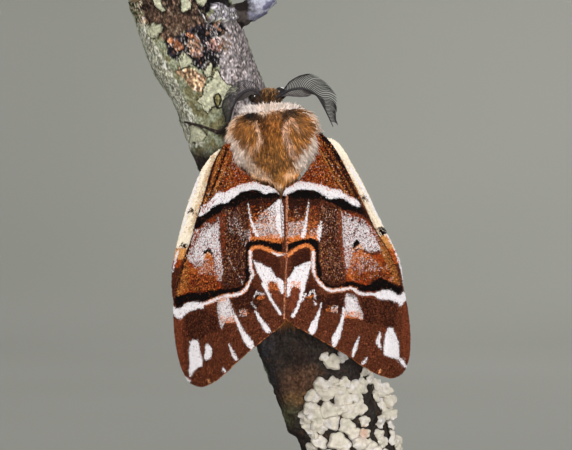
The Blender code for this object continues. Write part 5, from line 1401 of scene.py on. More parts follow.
def branch_axis(heights):
    """The branch's middle at heights, and the way it runs there."""
    middle = np.stack([np.interp(heights, BRANCH_LINE[:, 2], BRANCH_LINE[:, a]) for a in range(3)], axis=1)
    at = np.searchsorted(BRANCH_LINE[:, 2], heights)
    along = BRANCH_LINE[np.minimum(at + 25, 400)] - BRANCH_LINE[np.maximum(at - 25, 0)]
    return middle, unit(along)


def branch_surface(heights, turns, above=0.0):
    """Points over the bark. A turn is 0 at the side towards the moth and grows to its right."""
    middle, along = branch_axis(heights)
    front = np.array((0.0, -1.0, 0.0)) - along * -along[:, 1:2]
    front = unit(front)
    right = unit(np.cross(along, front))
    right *= np.where(right[:, :1] < 0, -1, 1)
    way = front * np.cos(turns)[:, None] + right * np.sin(turns)[:, None]
    wave = np.array([blender_noise.noise((math.cos(t) * 1.3, math.sin(t) * 1.3, h / 9 * 1.3))
                     for h, t in zip(heights, turns)])
    radius = BRANCH_RADIUS + 0.5 * np.exp(-(((heights - STUB_ROOT_HEIGHT) / 4) ** 2)) + 0.28 * wave
    return middle + way * (radius + above)[:, None], way


# Marks on the bark, as the wings' but with a height in millimetres after the share of places
BARK_PAINTS = {
    "pale": (172, 178, 150),
    "strip": (204, 202, 184),
    "olive": (126, 120, 86),
    "granular": (176, 142, 112),
    "dark_brown": (56, 42, 34),
    "mid_brown": (104, 80, 64),
    "near_black": (18, 14, 15),
    "blue_black": (22, 19, 24),
    "orange": (176, 112, 76),
    "pink": (176, 138, 132),
    "plate": (124, 120, 126),
    "plate_edge": (206, 202, 196),
    "smooth": (142, 134, 134),
    "cream": (206, 184, 160),
}
LICHEN_PATCHES = [
    [(150.5, -3), (161.7, -3), (161, 3.3), (162.8, 7.8), (165.8, 11), (162.2, 12), (158.3, 9.4),
        (154.4, 5.5), (153.3, 2.2)],
    [(180.5, -4), (186.7, -3), (191, 3.3), (191, 8.9), (186.7, 11), (183.3, 12.8), (180.9, 11),
        (181.3, 5.5)],
    [(193.9, -4), (208.3, -3), (206, 3.3), (202.8, 6), (199.4, 4.4), (196.7, 2.2)],
    [(146, 24.4), (150, 27.2), (152.2, 22.8), (154.4, 22.8), (156, 26), (159.4, 23.9), (162.8, 27.2),
        (161.7, 31.7), (158.3, 33.3), (157.2, 37.8), (153.3, 38.9), (150, 36.7), (146.7, 32.2)],
    [(177.8, 55.5), (180.5, 60), (185.5, 53.3), (188.9, 56.7), (192.8, 61), (188.9, 65.5), (184.4, 67.8),
        (180.5, 68.9), (180, 63.3)],
    [(211.7, 62.2), (212.2, 71), (210.5, 76.7), (206.7, 77.8), (203.3, 72.8), (206.7, 66.7)],
    [(216.7, 70), (219.5, 73), (222, 78), (226.7, 84.4), (240, 88), (236, 91), (231, 94), (224, 101),
        (222, 106), (218, 109), (215, 106), (212, 108), (208, 113), (204, 110), (202, 105.5),
        (196.7, 100.5), (203, 95), (203, 89), (208, 83), (212, 79)],
    [(190, 124.5), (197.8, 127), (203.3, 131), (206, 135.5), (202.8, 141), (191, 143)],
]
LICHEN_HOLE = [(217.5, 93.5), (220.6, 96), (221.4, 100), (219.4, 104.5), (217, 107), (214.6, 103),
               (213.8, 98), (215.2, 95)]
SMOOTH_PART = [(222, 18), (250, 18), (285, 95), (285, 140), (235, 140), (226, 86), (219, 70), (221, 45)]
PALE_STRIP = [(120, 20), (146, 24), (152, 40), (160, 50), (170, 68), (180, 88), (192, 112), (205, 145),
              (180, 150), (150, 90)]
CORNER_PART = [(118, -6), (139, -6), (143, 8), (145, 24), (135, 24)]
BROWN_PART = [(140, -6), (204, -6), (206, 10), (212, 24), (200, 26), (186, 30), (176, 38), (166, 40),
              (158, 36), (146, 28), (143, 12)]
ROUGH_PART = [(164, 40), (176, 38), (190, 28), (206, 22), (224, 23), (228, 30), (222, 40), (222, 58),
              (218, 68), (206, 70), (194, 66), (192, 58), (184, 52), (176, 60), (168, 54)]
BARK_MARKS = [
    ("smooth", 1.0, 0.0, SMOOTH_PART),
    ("strip", 1.0, 0.0, PALE_STRIP),
    ("cream", 0.6, 0.0, CORNER_PART),
    ("dark_brown", 0.45, -0.1, CORNER_PART),
    ("cream", 1.0, 0.05, [(140, 17), (144, 15.5), (144.6, 24), (141.5, 25)]),
    ("dark_brown", 1.0, -0.25, BROWN_PART),
    ("mid_brown", 0.45, -0.12, [(146, 10), (186, 12), (196, 26), (180, 34), (164, 38), (150, 26)]),
    ("near_black", 1.0, -0.35, [(196, 4), (212, -6), (236, -6), (237, 12), (226, 14), (215, 5), (208, 12),
        (206, 22)]),
    ("blue_black", 1.0, -0.2, ROUGH_PART),
    ("near_black", 0.5, -0.3, [(176, 38), (190, 28), (206, 22), (206, 40), (202, 52), (218, 60), (214, 70),
        (196, 69), (190, 58), (184, 44)]),
    ("mid_brown", 0.95, 0.0, [(188, 38), (200, 38), (203, 48), (200, 60), (192, 58), (187, 46)]),
    ("pink", 0.6, 0.05, [(190, 50), (202, 46), (202, 56), (192, 57)]),
    ("orange", 0.95, 0.12, [(167, 41), (172, 38.5), (178, 41), (184, 46), (183.5, 49), (177, 51),
        (171, 47)]),
    ("orange", 0.95, 0.12, [(186, 34.5), (190, 33), (195, 36), (196, 38.5), (190, 38.6)]),
    ("pink", 0.75, 0.1, [(205, 45), (214, 37), (222, 38), (221, 50), (212, 50)]),
    ("granular", 0.95, 0.0, [(172, 70), (184, 68), (196, 70), (206, 78), (203, 88), (202, 93), (194, 92),
        (184, 78)]),
    ("granular", 0.3, 0.0, [(222, 30), (230, 36), (232, 50), (226, 60), (222, 52)]),
    ("plate", 1.0, 0.5, [(211, 4.4), (216.7, 2.2), (223, 6.7), (234.4, 11), (237, 20), (230, 21.7),
        (223.3, 20), (215.5, 21), (209, 23.3), (207.8, 20), (212.2, 10)]),
    ("near_black", 0.3, 0.46, [(212, 10), (216, 4), (223, 8), (234, 12), (236, 19), (222, 18),
        (212, 20)]),
    ("plate_edge", 0.25, 0.5, [(212, 8), (216, 3), (226, 8), (236, 13), (237, 19), (222, 19), (211, 21)]),
    ("plate_edge", 0.9, 0.55, [(208, 23, 1.0), (215, 20.6, 1.2), (224, 20, 1.2), (231, 22, 1.2)]),
    ("plate_edge", 0.9, 0.4, [(233, -4, 1.0), (241, 8, 1.0), (247, 16, 1.2)]),
    ("plate_edge", 0.8, 0.1, [(205, 46, 0.9), (211, 41, 0.9), (218, 33, 0.8), (222, 29, 0.7)]),
    ("plate_edge", 0.7, 0.1, [(200, 70, 0.7), (206, 63, 0.8), (212, 60, 0.8)]),
    ("plate_edge", 0.7, 0.1, [(197, 8, 0.7), (203, 14, 0.9), (206, 22, 0.9), (214, 12, 0.8)]),
    ("plate_edge", 0.7, 0.1, [(186, 42, 0.8), (186, 50, 0.8), (191, 56, 0.8)]),
    ("plate_edge", 0.8, 0.1, [(178, 52, 0.8), (177.5, 60, 1.0)]),
    ("near_black", 1.0, -0.3, [(250, 54), (253, 54), (256, 62), (253, 62)]),
]
LOW_SPOTS = [
    # place and radii, strength, colour
    ((300, 382, 16, 14), 0.9, (112, 80, 60)),
    ((298, 397, 10, 6), 0.9, (140, 106, 70)),
    ((312, 372, 6, 5), 0.6, (124, 92, 70)),
    ((290, 412, 8, 10), 0.85, (104, 104, 74)),
    ((270, 350, 5, 16), 0.8, (66, 64, 70)),
    ((277, 378, 5, 14), 0.7, (62, 60, 66)),
    ((352, 348, 10, 6), 0.7, (74, 70, 78)),
    ((366, 352, 5, 5), 0.7, (120, 122, 136)),
    ((300, 352, 8, 6), 0.5, (60, 42, 34)),
]


def tinted(colours, part, amount, colour):
    """Colours with another blended in where part is true."""
    return np.where(part[:, None], blended(colours, amount, colour), colours)


def grow_crusts(colours, heights, x, y, front, grain, speck, fleck):
    """The crusty lichen patches of the photograph, each with a dark rim, put into colours and heights."""
    for outline in LICHEN_PATCHES:
        xs, ys = zip(*outline)
        near = (x > min(xs) - 3) & (x < max(xs) + 3) & front
        near &= (y > min(ys) - 3) & (y < max(ys) + 3)
        edge = outline + outline[:1]
        rim = near & on_line(widened(edge, 1.7), x, y)
        colours[rim] = linear((38, 32, 28))
        heights[rim] = -0.15
        hits = near & inside(outline, x, y)
        hits &= ~(on_line(widened(edge, 0.5), x, y))
        tone = np.exp(0.12 * grain[hits] - 0.25 * speck[hits] - 0.3 * fleck[hits])
        colours[hits] = linear((196, 196, 168)) * tone[:, None]
        heights[hits] = 0.16 + 0.03 * grain[hits]
    ring = front & on_line(widened(LICHEN_HOLE + LICHEN_HOLE[:1], 1.6), x, y)
    hole = front & inside(LICHEN_HOLE, x, y)
    colours[hole] = linear((140, 132, 88)) * np.exp(0.3 * fleck[hole])[:, None]
    colours[ring] = linear((26, 22, 20))
    heights[hole] = 0.0
    heights[ring] = -0.1


def bark_ground(world, x, y, facing, grain, speck):
    """Colours and heights of the bark without its marks: grain, dark low part and the unseen back."""
    colours = np.tile(linear(BARK_PAINTS["olive"]), (len(x), 1))
    heights = 0.1 * grain
    colours = blended(colours, smooth(-0.45, 0.35, grain), BARK_PAINTS["pale"])
    colours = blended(colours, 0.8 * smooth(0.15, 0.5, speck), (92, 88, 66))
    low = smooth(56.5, 54.0, world[:, 2])
    colours = blended(colours, 0.95 * low, (42, 33, 34))
    colours = blended(colours, 0.7 * low * smooth(0.35, 0.9, grain), (84, 62, 46))
    heights += low * 0.16 * fractal(world * 0.8, 3, 81)
    heights += 0.75 * near_line([(262, 346, 18), (282, 395, 18), (292, 424, 14)], x, y) * (y < 470)
    for spot, amount, colour in LOW_SPOTS:
        colours = blended(colours, amount * facing * spot_at(x + 2 * grain, y + 3 * grain, spot), colour)

    # Plates, cracks and lichen where the photograph doesn't reach
    hidden = 1 - facing
    scales = noise(world * np.array((0.34, 0.34, 0.22)), 83) + 0.35 * noise(world * 1.1, 84)
    crack = np.exp(-((scales / 0.07) ** 2)) * hidden
    colours = blended(colours, crack, BARK_PAINTS["near_black"])
    heights -= 0.3 * crack
    grown = noise(world * 0.42, 85) + 0.3 * noise(world * 1.6, 86)
    patch = hidden * smooth(0.34, 0.36, grown)
    border = hidden * smooth(0.28, 0.3, grown) * (1 - patch)
    colours = blended(colours, border, BARK_PAINTS["near_black"])
    colours = blended(colours, patch, BARK_PAINTS["pale"])
    heights += 0.12 * patch
    return colours, heights


def bark_at(world, facing):
    """Colours and heights of the bark at places. facing is how much each looks the camera's way."""
    x, y = in_photo(world)
    grain = fractal(world * 1.1, 4, 71)
    speck = noise(world * 4.2, 75)
    fleck = noise(world * 6.1, 76)
    warp_x = 1.6 * noise(world * 1.6, 77) + 0.8 * fleck
    warp_y = 1.6 * noise(world * 1.6, 78) + 0.8 * speck
    colours, heights = bark_ground(world, x, y, facing, grain, speck)

    # The marks of the side that the photograph shows
    front = facing > 0.5
    px, py = x + warp_x, y + warp_y
    dice = lattice(*(np.floor(world * 7.0).astype(np.int64).T), 91)
    lumps = smooth(-0.25, 0.25, speck + 0.4 * fleck)
    for name, share, height, shape in BARK_MARKS:
        hits = (inside if len(shape[0]) == 2 else on_line)(shape, px, py) & front
        hits &= (lumps * 0.6 + dice * 0.4) < share + 0.02
        mottle = np.exp(1.3 * speck[hits] + 1.0 * fleck[hits] + 0.3 * grain[hits])
        colours[hits] = linear(BARK_PAINTS[name]) * mottle[:, None]
        heights[hits] = height + (0.06 + 0.1 * (height != 0)) * grain[hits]
    parts = (ROUGH_PART, BROWN_PART, SMOOTH_PART, PALE_STRIP)
    rough, brown, even, strip = (inside(part, px, py) & front for part in parts)
    lines = np.exp(-((noise(world * np.array((1.0, 1.0, 0.7)) + 3, 94) / 0.055) ** 2))
    lines = np.maximum(lines, np.exp(-((noise(world * 1.7, 96) / 0.05) ** 2)))
    colours = tinted(colours, rough, 0.85 * lines * (dice < 0.6), (206, 198, 196))
    heights += np.where(rough, 0.14 * lines, 0.0)
    flecks = smooth(0.38, 0.54, noise(world * 2.1, 97)) * (speck > -0.3)
    colours = tinted(colours, rough, 0.8 * flecks, (150, 104, 80))
    colours = tinted(colours, brown, 0.65 * lines * (dice < 0.7), (164, 142, 120))
    even = even & ~rough & (y > 22)
    # Painted highlight: the smooth bark is lightened towards its right-hand edge.
    colours = blended(colours, 0.7 * even * smooth(250, 262, x - 0.42 * (y - 40)), (196, 190, 194))
    colours = tinted(colours, even, 0.7 * smooth(0.12, 0.4, speck), (116, 102, 98))
    colours = tinted(colours, even, 0.7 * smooth(0.0, 0.6, -grain), (178, 170, 172))
    colours = tinted(colours, strip, 0.8 * smooth(0.05, 0.4, speck + 0.5 * grain), (140, 138, 116))
    colours = tinted(colours, strip, 0.8 * smooth(0.1, 0.6, -grain), (216, 222, 198))
    heights[even | strip] *= 0.4
    grow_crusts(colours, heights, x + 0.35 * warp_x, y + 0.35 * warp_y, front, grain, speck, fleck)
    pits = smooth(0.45, 0.6, noise(world * 5.3, 93) + 0.3 * grain) * front
    colours = colours * (1 - 0.45 * pits)[:, None]
    mottle = np.exp(0.6 * speck + 0.6 * fleck)
    return np.clip(colours * mottle[:, None], 0, 0.9), heights


def branch_bark():
    """The bark from sawn end to sawn end, with rings of wood that close both."""
    around, along = 262, 362
    share = np.arange(around) / around
    turns = 2 * math.pi * share - 0.45 * np.sin(2 * math.pi * share)
    levels = np.linspace(0, 1, along)
    j, i = grid(np.arange(along), np.arange(around))
    foot, top = BRANCH_LINE[0, 2], BRANCH_LINE[-1, 2]
    heights = foot + (top - foot) * levels[j]
    points, way = branch_surface(heights, turns[i])
    middle, axis = branch_axis(heights)
    squared = smooth(0.0, 0.18, levels[j])[:, None]
    level = unit(np.array((0.0, 0.0, 1.0)) * (1 - squared) + axis * squared)
    off = points - middle
    points = points - axis * ((off * level).sum(1) / (axis * level).sum(1))[:, None]
    away = unit(points - np.array((0.0, (MOTH_PLACE[1] - CAMERA_AWAY), MIDDLE_HEIGHT)))
    facing = smooth(0.02, -0.12, (away * way).sum(1)) * (in_photo(points)[1] < 460)
    colours, raised = bark_at(points, facing)
    ends = smooth(0.0, 0.02, levels[j]) * smooth(1.0, 0.985, levels[j])
    points = points + way * (raised * ends)[:, None]
    faces = [tube_faces(along, around)]
    all_points, all_colours = [points], [colours]
    base = len(points)
    wood = linear((120, 96, 66))
    after = np.roll(np.arange(around), -1)
    for start, sign in ((0, 1), ((along - 1) * around, -1)):
        rim = np.arange(around) + start
        centre = points[rim].mean(0)
        last = rim
        for step in range(1, 9):
            all_points.append(centre + (points[rim] - centre) * (1 - step / 8 * 0.985))
            all_colours.append(np.tile(wood * (0.8 + 0.2 * (step % 2)), (around, 1)))
            now = np.arange(around) + base
            base += around
            quads = np.stack([last, now, now[after], last[after]], axis=1)
            faces.append(quads if sign > 0 else quads[:, ::-1])
            last = now
        faces.append(last[None, ::-1] if sign > 0 else last[None])
    new_piece("branch_bark", np.vstack(all_points), faces, bark_look, replaces=["perch_branch"],
              shades=np.vstack(all_colours))


def branch_stub():
    """The dead twig at the top right, with its flaky tip."""
    steps, sides = 90, 56
    root, _ = branch_axis(np.array([STUB_ROOT_HEIGHT]))
    way = np.array(STUB_TIP) - root[0]
    line = curve_through([root[0] + way * s for s in (0.3, 0.5, 0.65, 0.85, 1.0)], steps)
    shares = np.linspace(0.3, 1, steps)
    radius = STUB_RADIUS * np.interp(shares, (0, 0.45, 0.65, 0.85, 1.0), (1.2, 1.1, 0.85, 0.9, 0.5))
    points, faces = swept(line, radius, sides)
    grain = fractal(points * np.array((0.9, 1.4, 1.4)), 4, 95)
    centre = np.repeat(line, sides, axis=0)
    out = unit(points[:len(centre)] - centre)
    along = np.repeat(shares, sides)
    lump = 0.2 * grain[:len(centre)] + 0.16 * np.abs(noise(centre * 1.2 + out * 1.5, 97))
    points[:len(centre)] += out * (lump * smooth(0.3, 0.4, along))[:, None]
    colours = np.tile(linear((34, 28, 26)), (len(points), 1))
    full = np.concatenate([along, np.full(len(points) - len(centre), 1.0)])
    colours = blended(colours, 0.7 * smooth(0.0, 0.6, grain), (84, 76, 72))
    tip = smooth(0.7, 0.82, full + 0.07 * grain)
    colours = blended(colours, tip, (178, 180, 196))
    colours = blended(colours, tip * smooth(0.1, 0.5, grain), (112, 112, 138))
    new_piece("branch_twig", points, faces, bark_look, shades=colours)


def tube_faces(rings, around, turned=False):
    """Faces between the rings of a tube. Turned ones look the other way."""
    a = (np.arange(rings - 1)[:, None] * around + np.arange(around)[None]).ravel()
    b = (np.arange(rings - 1)[:, None] * around + (np.arange(around)[None] + 1) % around).ravel()
    return np.stack((a, a + around, b + around, b) if turned else (a, b, b + around, a + around), axis=1)


def swept(line, radius, sides):
    """A closed tube along a line of points, with its faces; the two ends are capped with a point each."""
    along = unit(np.gradient(line, axis=0))
    side = unit(np.cross(along, np.array((0.0, -1.0, 0.15))))
    up = np.cross(side, along)
    turns = 2 * math.pi * np.arange(sides) / sides
    rings = (line[:, None] + np.asarray(radius)[:, None, None]
             * (side[:, None] * np.cos(turns)[None, :, None] + up[:, None] * np.sin(turns)[None, :, None]))
    count = len(line)
    points = np.vstack([rings.reshape(-1, 3), line[:1], line[-1:]])
    first = np.arange(sides)
    last = first + (count - 1) * sides
    after = np.roll(first, -1)
    caps = np.vstack([np.stack([np.full(sides, count * sides), first[after], first], axis=1),
                      np.stack([np.full(sides, count * sides + 1), last, last[after]], axis=1)])
    return points, [tube_faces(count, sides), caps]


def joined(parts):
    """Points and two arrays of faces of parts that each bring their own."""
    points, sides, caps, base = [], [], [], 0
    for made, faces in parts:
        points.append(made)
        sides.append(faces[0] + base)
        caps.append(faces[1] + base)
        base += len(made)
    return np.vstack(points), [np.vstack(sides), np.vstack(caps)]


# Leafy lichen: photo place and radius of each lobe in pixels, and how many more grow where it can't be seen
SIDE_LOBES = 40
LOBES = [
    (321, 384, 8), (332, 381, 7), (313, 396, 8), (326, 393, 9), (338, 391, 8), (344, 383, 7),
    (343, 398, 9), (353, 388, 8), (361, 386, 8), (368, 379, 7), (356, 398, 8), (350, 411, 10),
    (358, 407, 9), (340, 408, 8), (312, 408, 9), (306, 417, 8), (318, 415, 10), (329, 410, 10),
    (331, 421, 9), (320, 425, 9), (311, 427, 8), (315, 434, 6), (332, 362, 9), (341, 357, 6),
    (324, 357, 5), (380, 391, 9), (389, 389, 8), (393, 400, 8), (382, 403, 9), (374, 397, 6),
    (386, 412, 9), (392, 414, 6), (379, 421, 9), (388, 426, 9), (364, 421, 6), (346, 425, 8),
    (353, 433, 7), (338, 441, 10), (343, 447, 8), (320, 442, 8), (313, 447, 7), (364, 433, 6),
    (360, 443, 9), (369, 446, 8), (378, 434, 6), (381, 442, 7), (390, 438, 8), (396, 444, 9),
    (374, 450, 7), (330, 455, 8), (346, 459, 9), (362, 458, 8), (384, 456, 9), (398, 457, 8),
    (318, 458, 7), (340, 470, 8), (358, 472, 9), (378, 470, 9), (396, 471, 8), (325, 470, 6),
    (362, 372, 6), (376, 384, 6),
]


def lobe_spots(chance):
    """Place, way and size of each lobe: the photograph's, then some round the branch's right side."""
    spots = []
    heights, turns = grid(np.linspace(13.5, 36, 180), np.radians(np.linspace(-80, 95, 160)))
    places, ways = branch_surface(heights, turns)
    x, y = in_photo(places)
    for lx, ly, size in LOBES:
        at = np.argmin((x - lx) ** 2 + (y - ly) ** 2)
        aside = np.clip(np.array((lx - x[at], 0, y[at] - ly)) * PIXEL, -1.3, 1.3)
        way = unit(ways[at] + np.array((0, -1.2, 0)) * np.linalg.norm(aside))
        spots.append((places[at] + aside, way, size * PIXEL * 1.12))
    heights = chance.uniform(15.0, 30.0, SIDE_LOBES)
    turns = np.radians(chance.uniform(78, 135, SIDE_LOBES))
    places, ways = branch_surface(heights, turns)
    return spots + list(zip(places, ways, chance.uniform(0.7, 1.2, SIDE_LOBES)))


def lichen_lobes():
    """The leafy lichen: thin, folded, dented lobes, each closed by an under side."""
    chance = np.random.default_rng(5)
    rings, around = 11, 36
    half = rings * around
    rho = np.linspace(0.06, 1, rings)[:, None]
    theta = (2 * math.pi * np.arange(around) / around)[None]
    upper = tube_faces(rings, around, turned=True)
    edge = np.arange(around) + (rings - 1) * around
    after = np.roll(edge, -1)
    rim = np.stack([edge, edge + half, after + half, after], axis=1)
    cap = np.arange(around)[None]
    faces = [np.vstack([upper, upper[:, ::-1] + half, rim]), np.vstack([cap, cap[:, ::-1] + half])]
    # Painted shade in the middle of each lobe's top; the under side is browner, partly its own colour and
    # partly painted shade.
    shade_and_under_side = np.broadcast_to(smooth(0.35, 0.0, rho) * 0.3, (rings, around)).ravel()
    shade_and_under_side = np.concatenate([shade_and_under_side, np.ones(half) * 0.8])
    parts, shades = [], []
    for place, way, size in lobe_spots(chance):
        phase = chance.uniform(0, 2 * math.pi, 4)
        three, four, five, nine = (n * theta for n in (3, 4, 5, 9))
        reach = (1 + 0.12 * np.sin(three + phase[0]) + 0.08 * np.sin(five + phase[1])
                 + 0.035 * np.sin(nine + phase[2]))
        dome = (0.4 * (1 - rho**2) + 0.16 * np.exp(-(((rho - 0.8) / 0.16) ** 2)) - 0.2 * rho**8
                + 0.12 * rho**2 * np.sin(four + phase[3]))
        folds = (0.08 * np.sin(five + phase[1]) + 0.04 * np.sin(nine + phase[0])) * rho**3
        folds = folds + 0.008 * chance.normal(size=(rings, around))
        tilt = unit(way + 0.25 * chance.normal(size=3) * np.array((1, 0.6, 1)))
        e1 = unit(np.cross(tilt, np.array((0.1, 0.2, 1.0))))
        e2 = np.cross(tilt, e1)
        stretch = chance.uniform(0.8, 1.0)
        flat = size * reach * rho
        top = (place + e1 * (flat * np.cos(theta))[..., None]
               + e2 * (flat * np.sin(theta) * stretch)[..., None]
               + tilt * (size * (dome + folds) + 0.28)[..., None])
        low = top - tilt * (0.16 + 0.12 * (1 - rho**2))[..., None] * np.ones((1, around, 1))
        points = np.vstack([top.reshape(-1, 3), low.reshape(-1, 3)])
        points = points + tilt * (0.16 * fractal(points * 1.2, 2, 103))[:, None]
        x, y = in_photo(points)
        tone = fractal(points * 1.3, 3, 101)
        colours = np.tile(linear((216, 208, 193)), (len(points), 1))
        colours = blended(colours, 0.7 * smooth(0.0, 0.9, tone), (206, 204, 184))
        colours = blended(colours, 0.5 * smooth(0.0, 0.9, -tone), (236, 236, 240))
        colours = blended(colours, 0.8 * spot_at(x, y, (364, 433, 4, 6)), (206, 158, 132))
        shades.append(blended(colours, shade_and_under_side, (120, 104, 86)))
        parts.append((points, faces))
    points, faces = joined(parts)
    new_piece("lichen_lobes", points, faces, lichen_look, replaces=["perch_lichen"],
              shades=np.vstack(shades))


# Antennae
ANTENNA_SHAFTS = {
    "right": [
        (1.05, 2.2, 5.1), (2.14, 1.7, 5.6), (3.0, 1.4, 5.85), (4.1, 1.2, 5.87), (4.78, 1.1, 5.66),
        (5.43, 1.2, 5.28), (6.05, 1.4, 4.7), (6.5, 1.7, 3.74), (6.84, 2.0, 2.87), (7.33, 2.4, 1.51),
    ],
    "left": [
        (-0.8, 2.2, 5.3), (-1.1, 1.9, 5.93), (-1.65, 1.8, 6.3), (-2.35, 1.8, 6.3), (-3.1, 1.9, 6.0),
        (-3.6, 2.0, 5.55), (-4.05, 2.3, 4.9), (-4.4, 2.6, 4.2), (-4.65, 3.0, 3.5), (-4.9, 3.4, 2.9),
    ],
}
RAY_LENGTH = 2.3
RAYS = 46
ANTENNA_STEPS = 241


def antenna(side):
    """A feeler: a ringed shaft with two rows of rays, the hind row paler."""
    last = ANTENNA_STEPS - 1
    line = curve_through(ANTENNA_SHAFTS[side], ANTENNA_STEPS)
    sign = 1 if side == "right" else -1
    radius = np.interp(np.linspace(0, 1, ANTENNA_STEPS), (0, 0.1, 0.7, 1), (0.2, 0.17, 0.12, 0.05))
    rings = 1 + 0.07 * np.sin(np.arange(ANTENNA_STEPS) * 2 * math.pi / 4.8)
    parts = [swept(line, radius * rings, 14)]
    shades = [np.tile(linear((26, 21, 26)), (len(parts[0][0]), 1))]
    chance = np.random.default_rng(61 if side == "left" else 62)
    for i in range(RAYS):
        share = 0.07 + 0.925 * i / (RAYS - 1)
        reach = RAY_LENGTH * float(smooth(0.0, 0.3, share)) * (1 - 0.6 * float(smooth(0.55, 1.0, share)))
        at = round(share * last)
        along = unit(line[min(at + 6, last)] - line[max(at - 6, 0)])
        away = unit(np.array((-along[2], 0, along[0]))) * sign
        steps = np.linspace(0, 1, 9)[:, None]
        rise = 1.3 * (steps - 0.5 * steps**2)
        run = 0.35 * steps + 0.5 * steps**2
        if side == "right":
            under = -1.15 * (1 - float(smooth(0.12, 0.52, share)))
        else:
            under = -0.8 * (1 - float(smooth(0.2, 0.55, share))) + 0.3 * float(smooth(0.5, 0.8, share))
            rise, run = rise * 0.88, run * 0.62
        front = away * rise + along * run + np.array((0, -0.12, 0)) * steps
        hind = away * under * rise + along * run * 0.9 + np.array((0, 0.72, 0)) * steps
        for way, part, shade, width in ((front, 1.0, (20, 15, 18), 1.0), (hind, 0.95, (92, 86, 86), 1.15)):
            size = reach * part * chance.uniform(0.97, 1.03)
            thick = width * np.interp(steps[:, 0], (0, 0.15, 0.9, 1), (0.062, 0.056, 0.05, 0.02))
            parts.append(swept(line[at] + way * size, thick, 5))
            shades.append(np.tile(linear(shade) * chance.uniform(0.75, 1.25), (len(parts[-1][0]), 1)))
    points, faces = joined(parts)
    new_piece(f"antenna_{side}_comb", to_world(points), faces, feeler_look,
              replaces=[f"antenna_{side}"], shades=np.vstack(shades))


# Legs
LEGS = {
    "fore_left": ((-1.3, 5.9, 2.3), (59.4, 61.3), (-12, -58)),
    "fore_right": ((1.3, 5.9, 2.3), (59.6, 58.6), (16, 60)),
    "mid_left": ((-1.9, 6.3, 0.1), (54.4, 54.6), (-20, -56)),
    "mid_right": ((1.9, 6.3, 0.1), (56.2, 55.0), (34, 72)),
    "hind_left": ((-1.6, 6.1, -2.2), (48.8, 47.8), (-20, -60)),
    "hind_right": ((1.6, 6.1, -2.2), (50.2, 48.6), (30, 72)),
}
TO_MOTH = np.linalg.inv(MOTH_MATRIX)
LEG_STEPS = 120
LEG_SHARES = np.linspace(0, 1, LEG_STEPS)
TARSAL_JOINT = 0.075


def leg_line(name):
    """A leg's middle line and radii from the thorax to its claws round the bark, and its ankle's share."""
    root, heights, turns = LEGS[name]
    root = np.array(root)
    side = -1 if name.endswith("left") else 1
    share = np.linspace(0, 1, 5)
    turn = np.radians(turns[0] + (turns[1] - turns[0]) * share)
    height = heights[0] + (heights[1] - heights[0]) * share + 0.5 * np.sin(2.8 * share)
    place, _ = branch_surface(height, turn, 0.3 + 0.27 + 0.25 * (1 - share) ** 2)
    tarsus = place @ TO_MOTH[:3, :3].T + TO_MOTH[:3, 3]
    knee = (root + tarsus[0]) / 2 + np.array((0.9 * side, -0.1, 0.5))
    upper = curve_through([root, knee, tarsus[0]], 5)
    coarse = np.vstack([upper[:-1], tarsus])
    line = curve_through(coarse, LEG_STEPS)
    radii = np.array([0.5, 0.55, 0.48, 0.38, 0.3] + [0.22] * 3 + [0.15])
    lengths = np.concatenate([[0], np.cumsum(np.linalg.norm(np.diff(coarse, axis=0), axis=1))])
    return line, np.interp(np.linspace(0, lengths[-1], LEG_STEPS), lengths, radii), lengths[4] / lengths[-1]


def legs_coat():
    """Short scales on the upper legs, shorter still and banded on the feet."""
    parts = []
    chance = np.random.default_rng(71)
    last = LEG_STEPS - 1
    for number, name in enumerate(LEGS):
        line, radii, ankle = leg_line(name)
        count = 900
        share = chance.uniform(0.06, 0.985, count)
        at = share * last
        step = np.minimum(at.astype(int), last - 1)
        place = line[step] + (line[step + 1] - line[step]) * (at - step)[:, None]
        along = unit(line[np.minimum(step + 2, last)] - line[np.maximum(step - 1, 0)])
        turn = chance.uniform(0, 2 * math.pi, count)
        side = unit(np.cross(along, np.array((0.1, -1.0, 0.15))))
        normal = side * np.cos(turn)[:, None] + np.cross(side, along) * np.sin(turn)[:, None]
        foot = smooth(ankle - 0.08, ankle + 0.08, share)
        roots = place + normal * (np.interp(share, LEG_SHARES, radii) - 0.02)[:, None]
        lengths = (1.0 - 0.72 * foot) * chance.uniform(0.6, 1.1, count)
        stands = (0.55 - 0.35 * foot) * chance.uniform(0.6, 1.1, count)
        bands = (np.sin(share * 2 * math.pi / TARSAL_JOINT) > 0.55) & (foot > 0.5)
        tips = np.where(foot[:, None] > 0.5, linear((44, 35, 32)), linear((56, 43, 35)))
        tips = np.where(bands[:, None], linear((120, 100, 84)), tips)
        tips = tips * np.exp(chance.normal(0, 0.2, count))[:, None]
        laid = np.stack([0.04 + 0.15 * number + turn / 50, 0.04 + share * 0.9], axis=1)
        lies = unit(along + 0.1 * normal)
        parts.append((roots, normal, lies, lengths[:, None], stands[:, None], tips, laid))
    roots, normals, lies, lengths, stands, tips, laid = (np.vstack(p) for p in zip(*parts))
    # Painted shade: the roots are darker than the tips for the shade deep in the coat.
    hair_coat("legs_coat", roots, normals, lies, lengths[:, 0], stands[:, 0], np.full(len(roots), 0.05),
              tips * 0.5, tips, laid, leg_look)


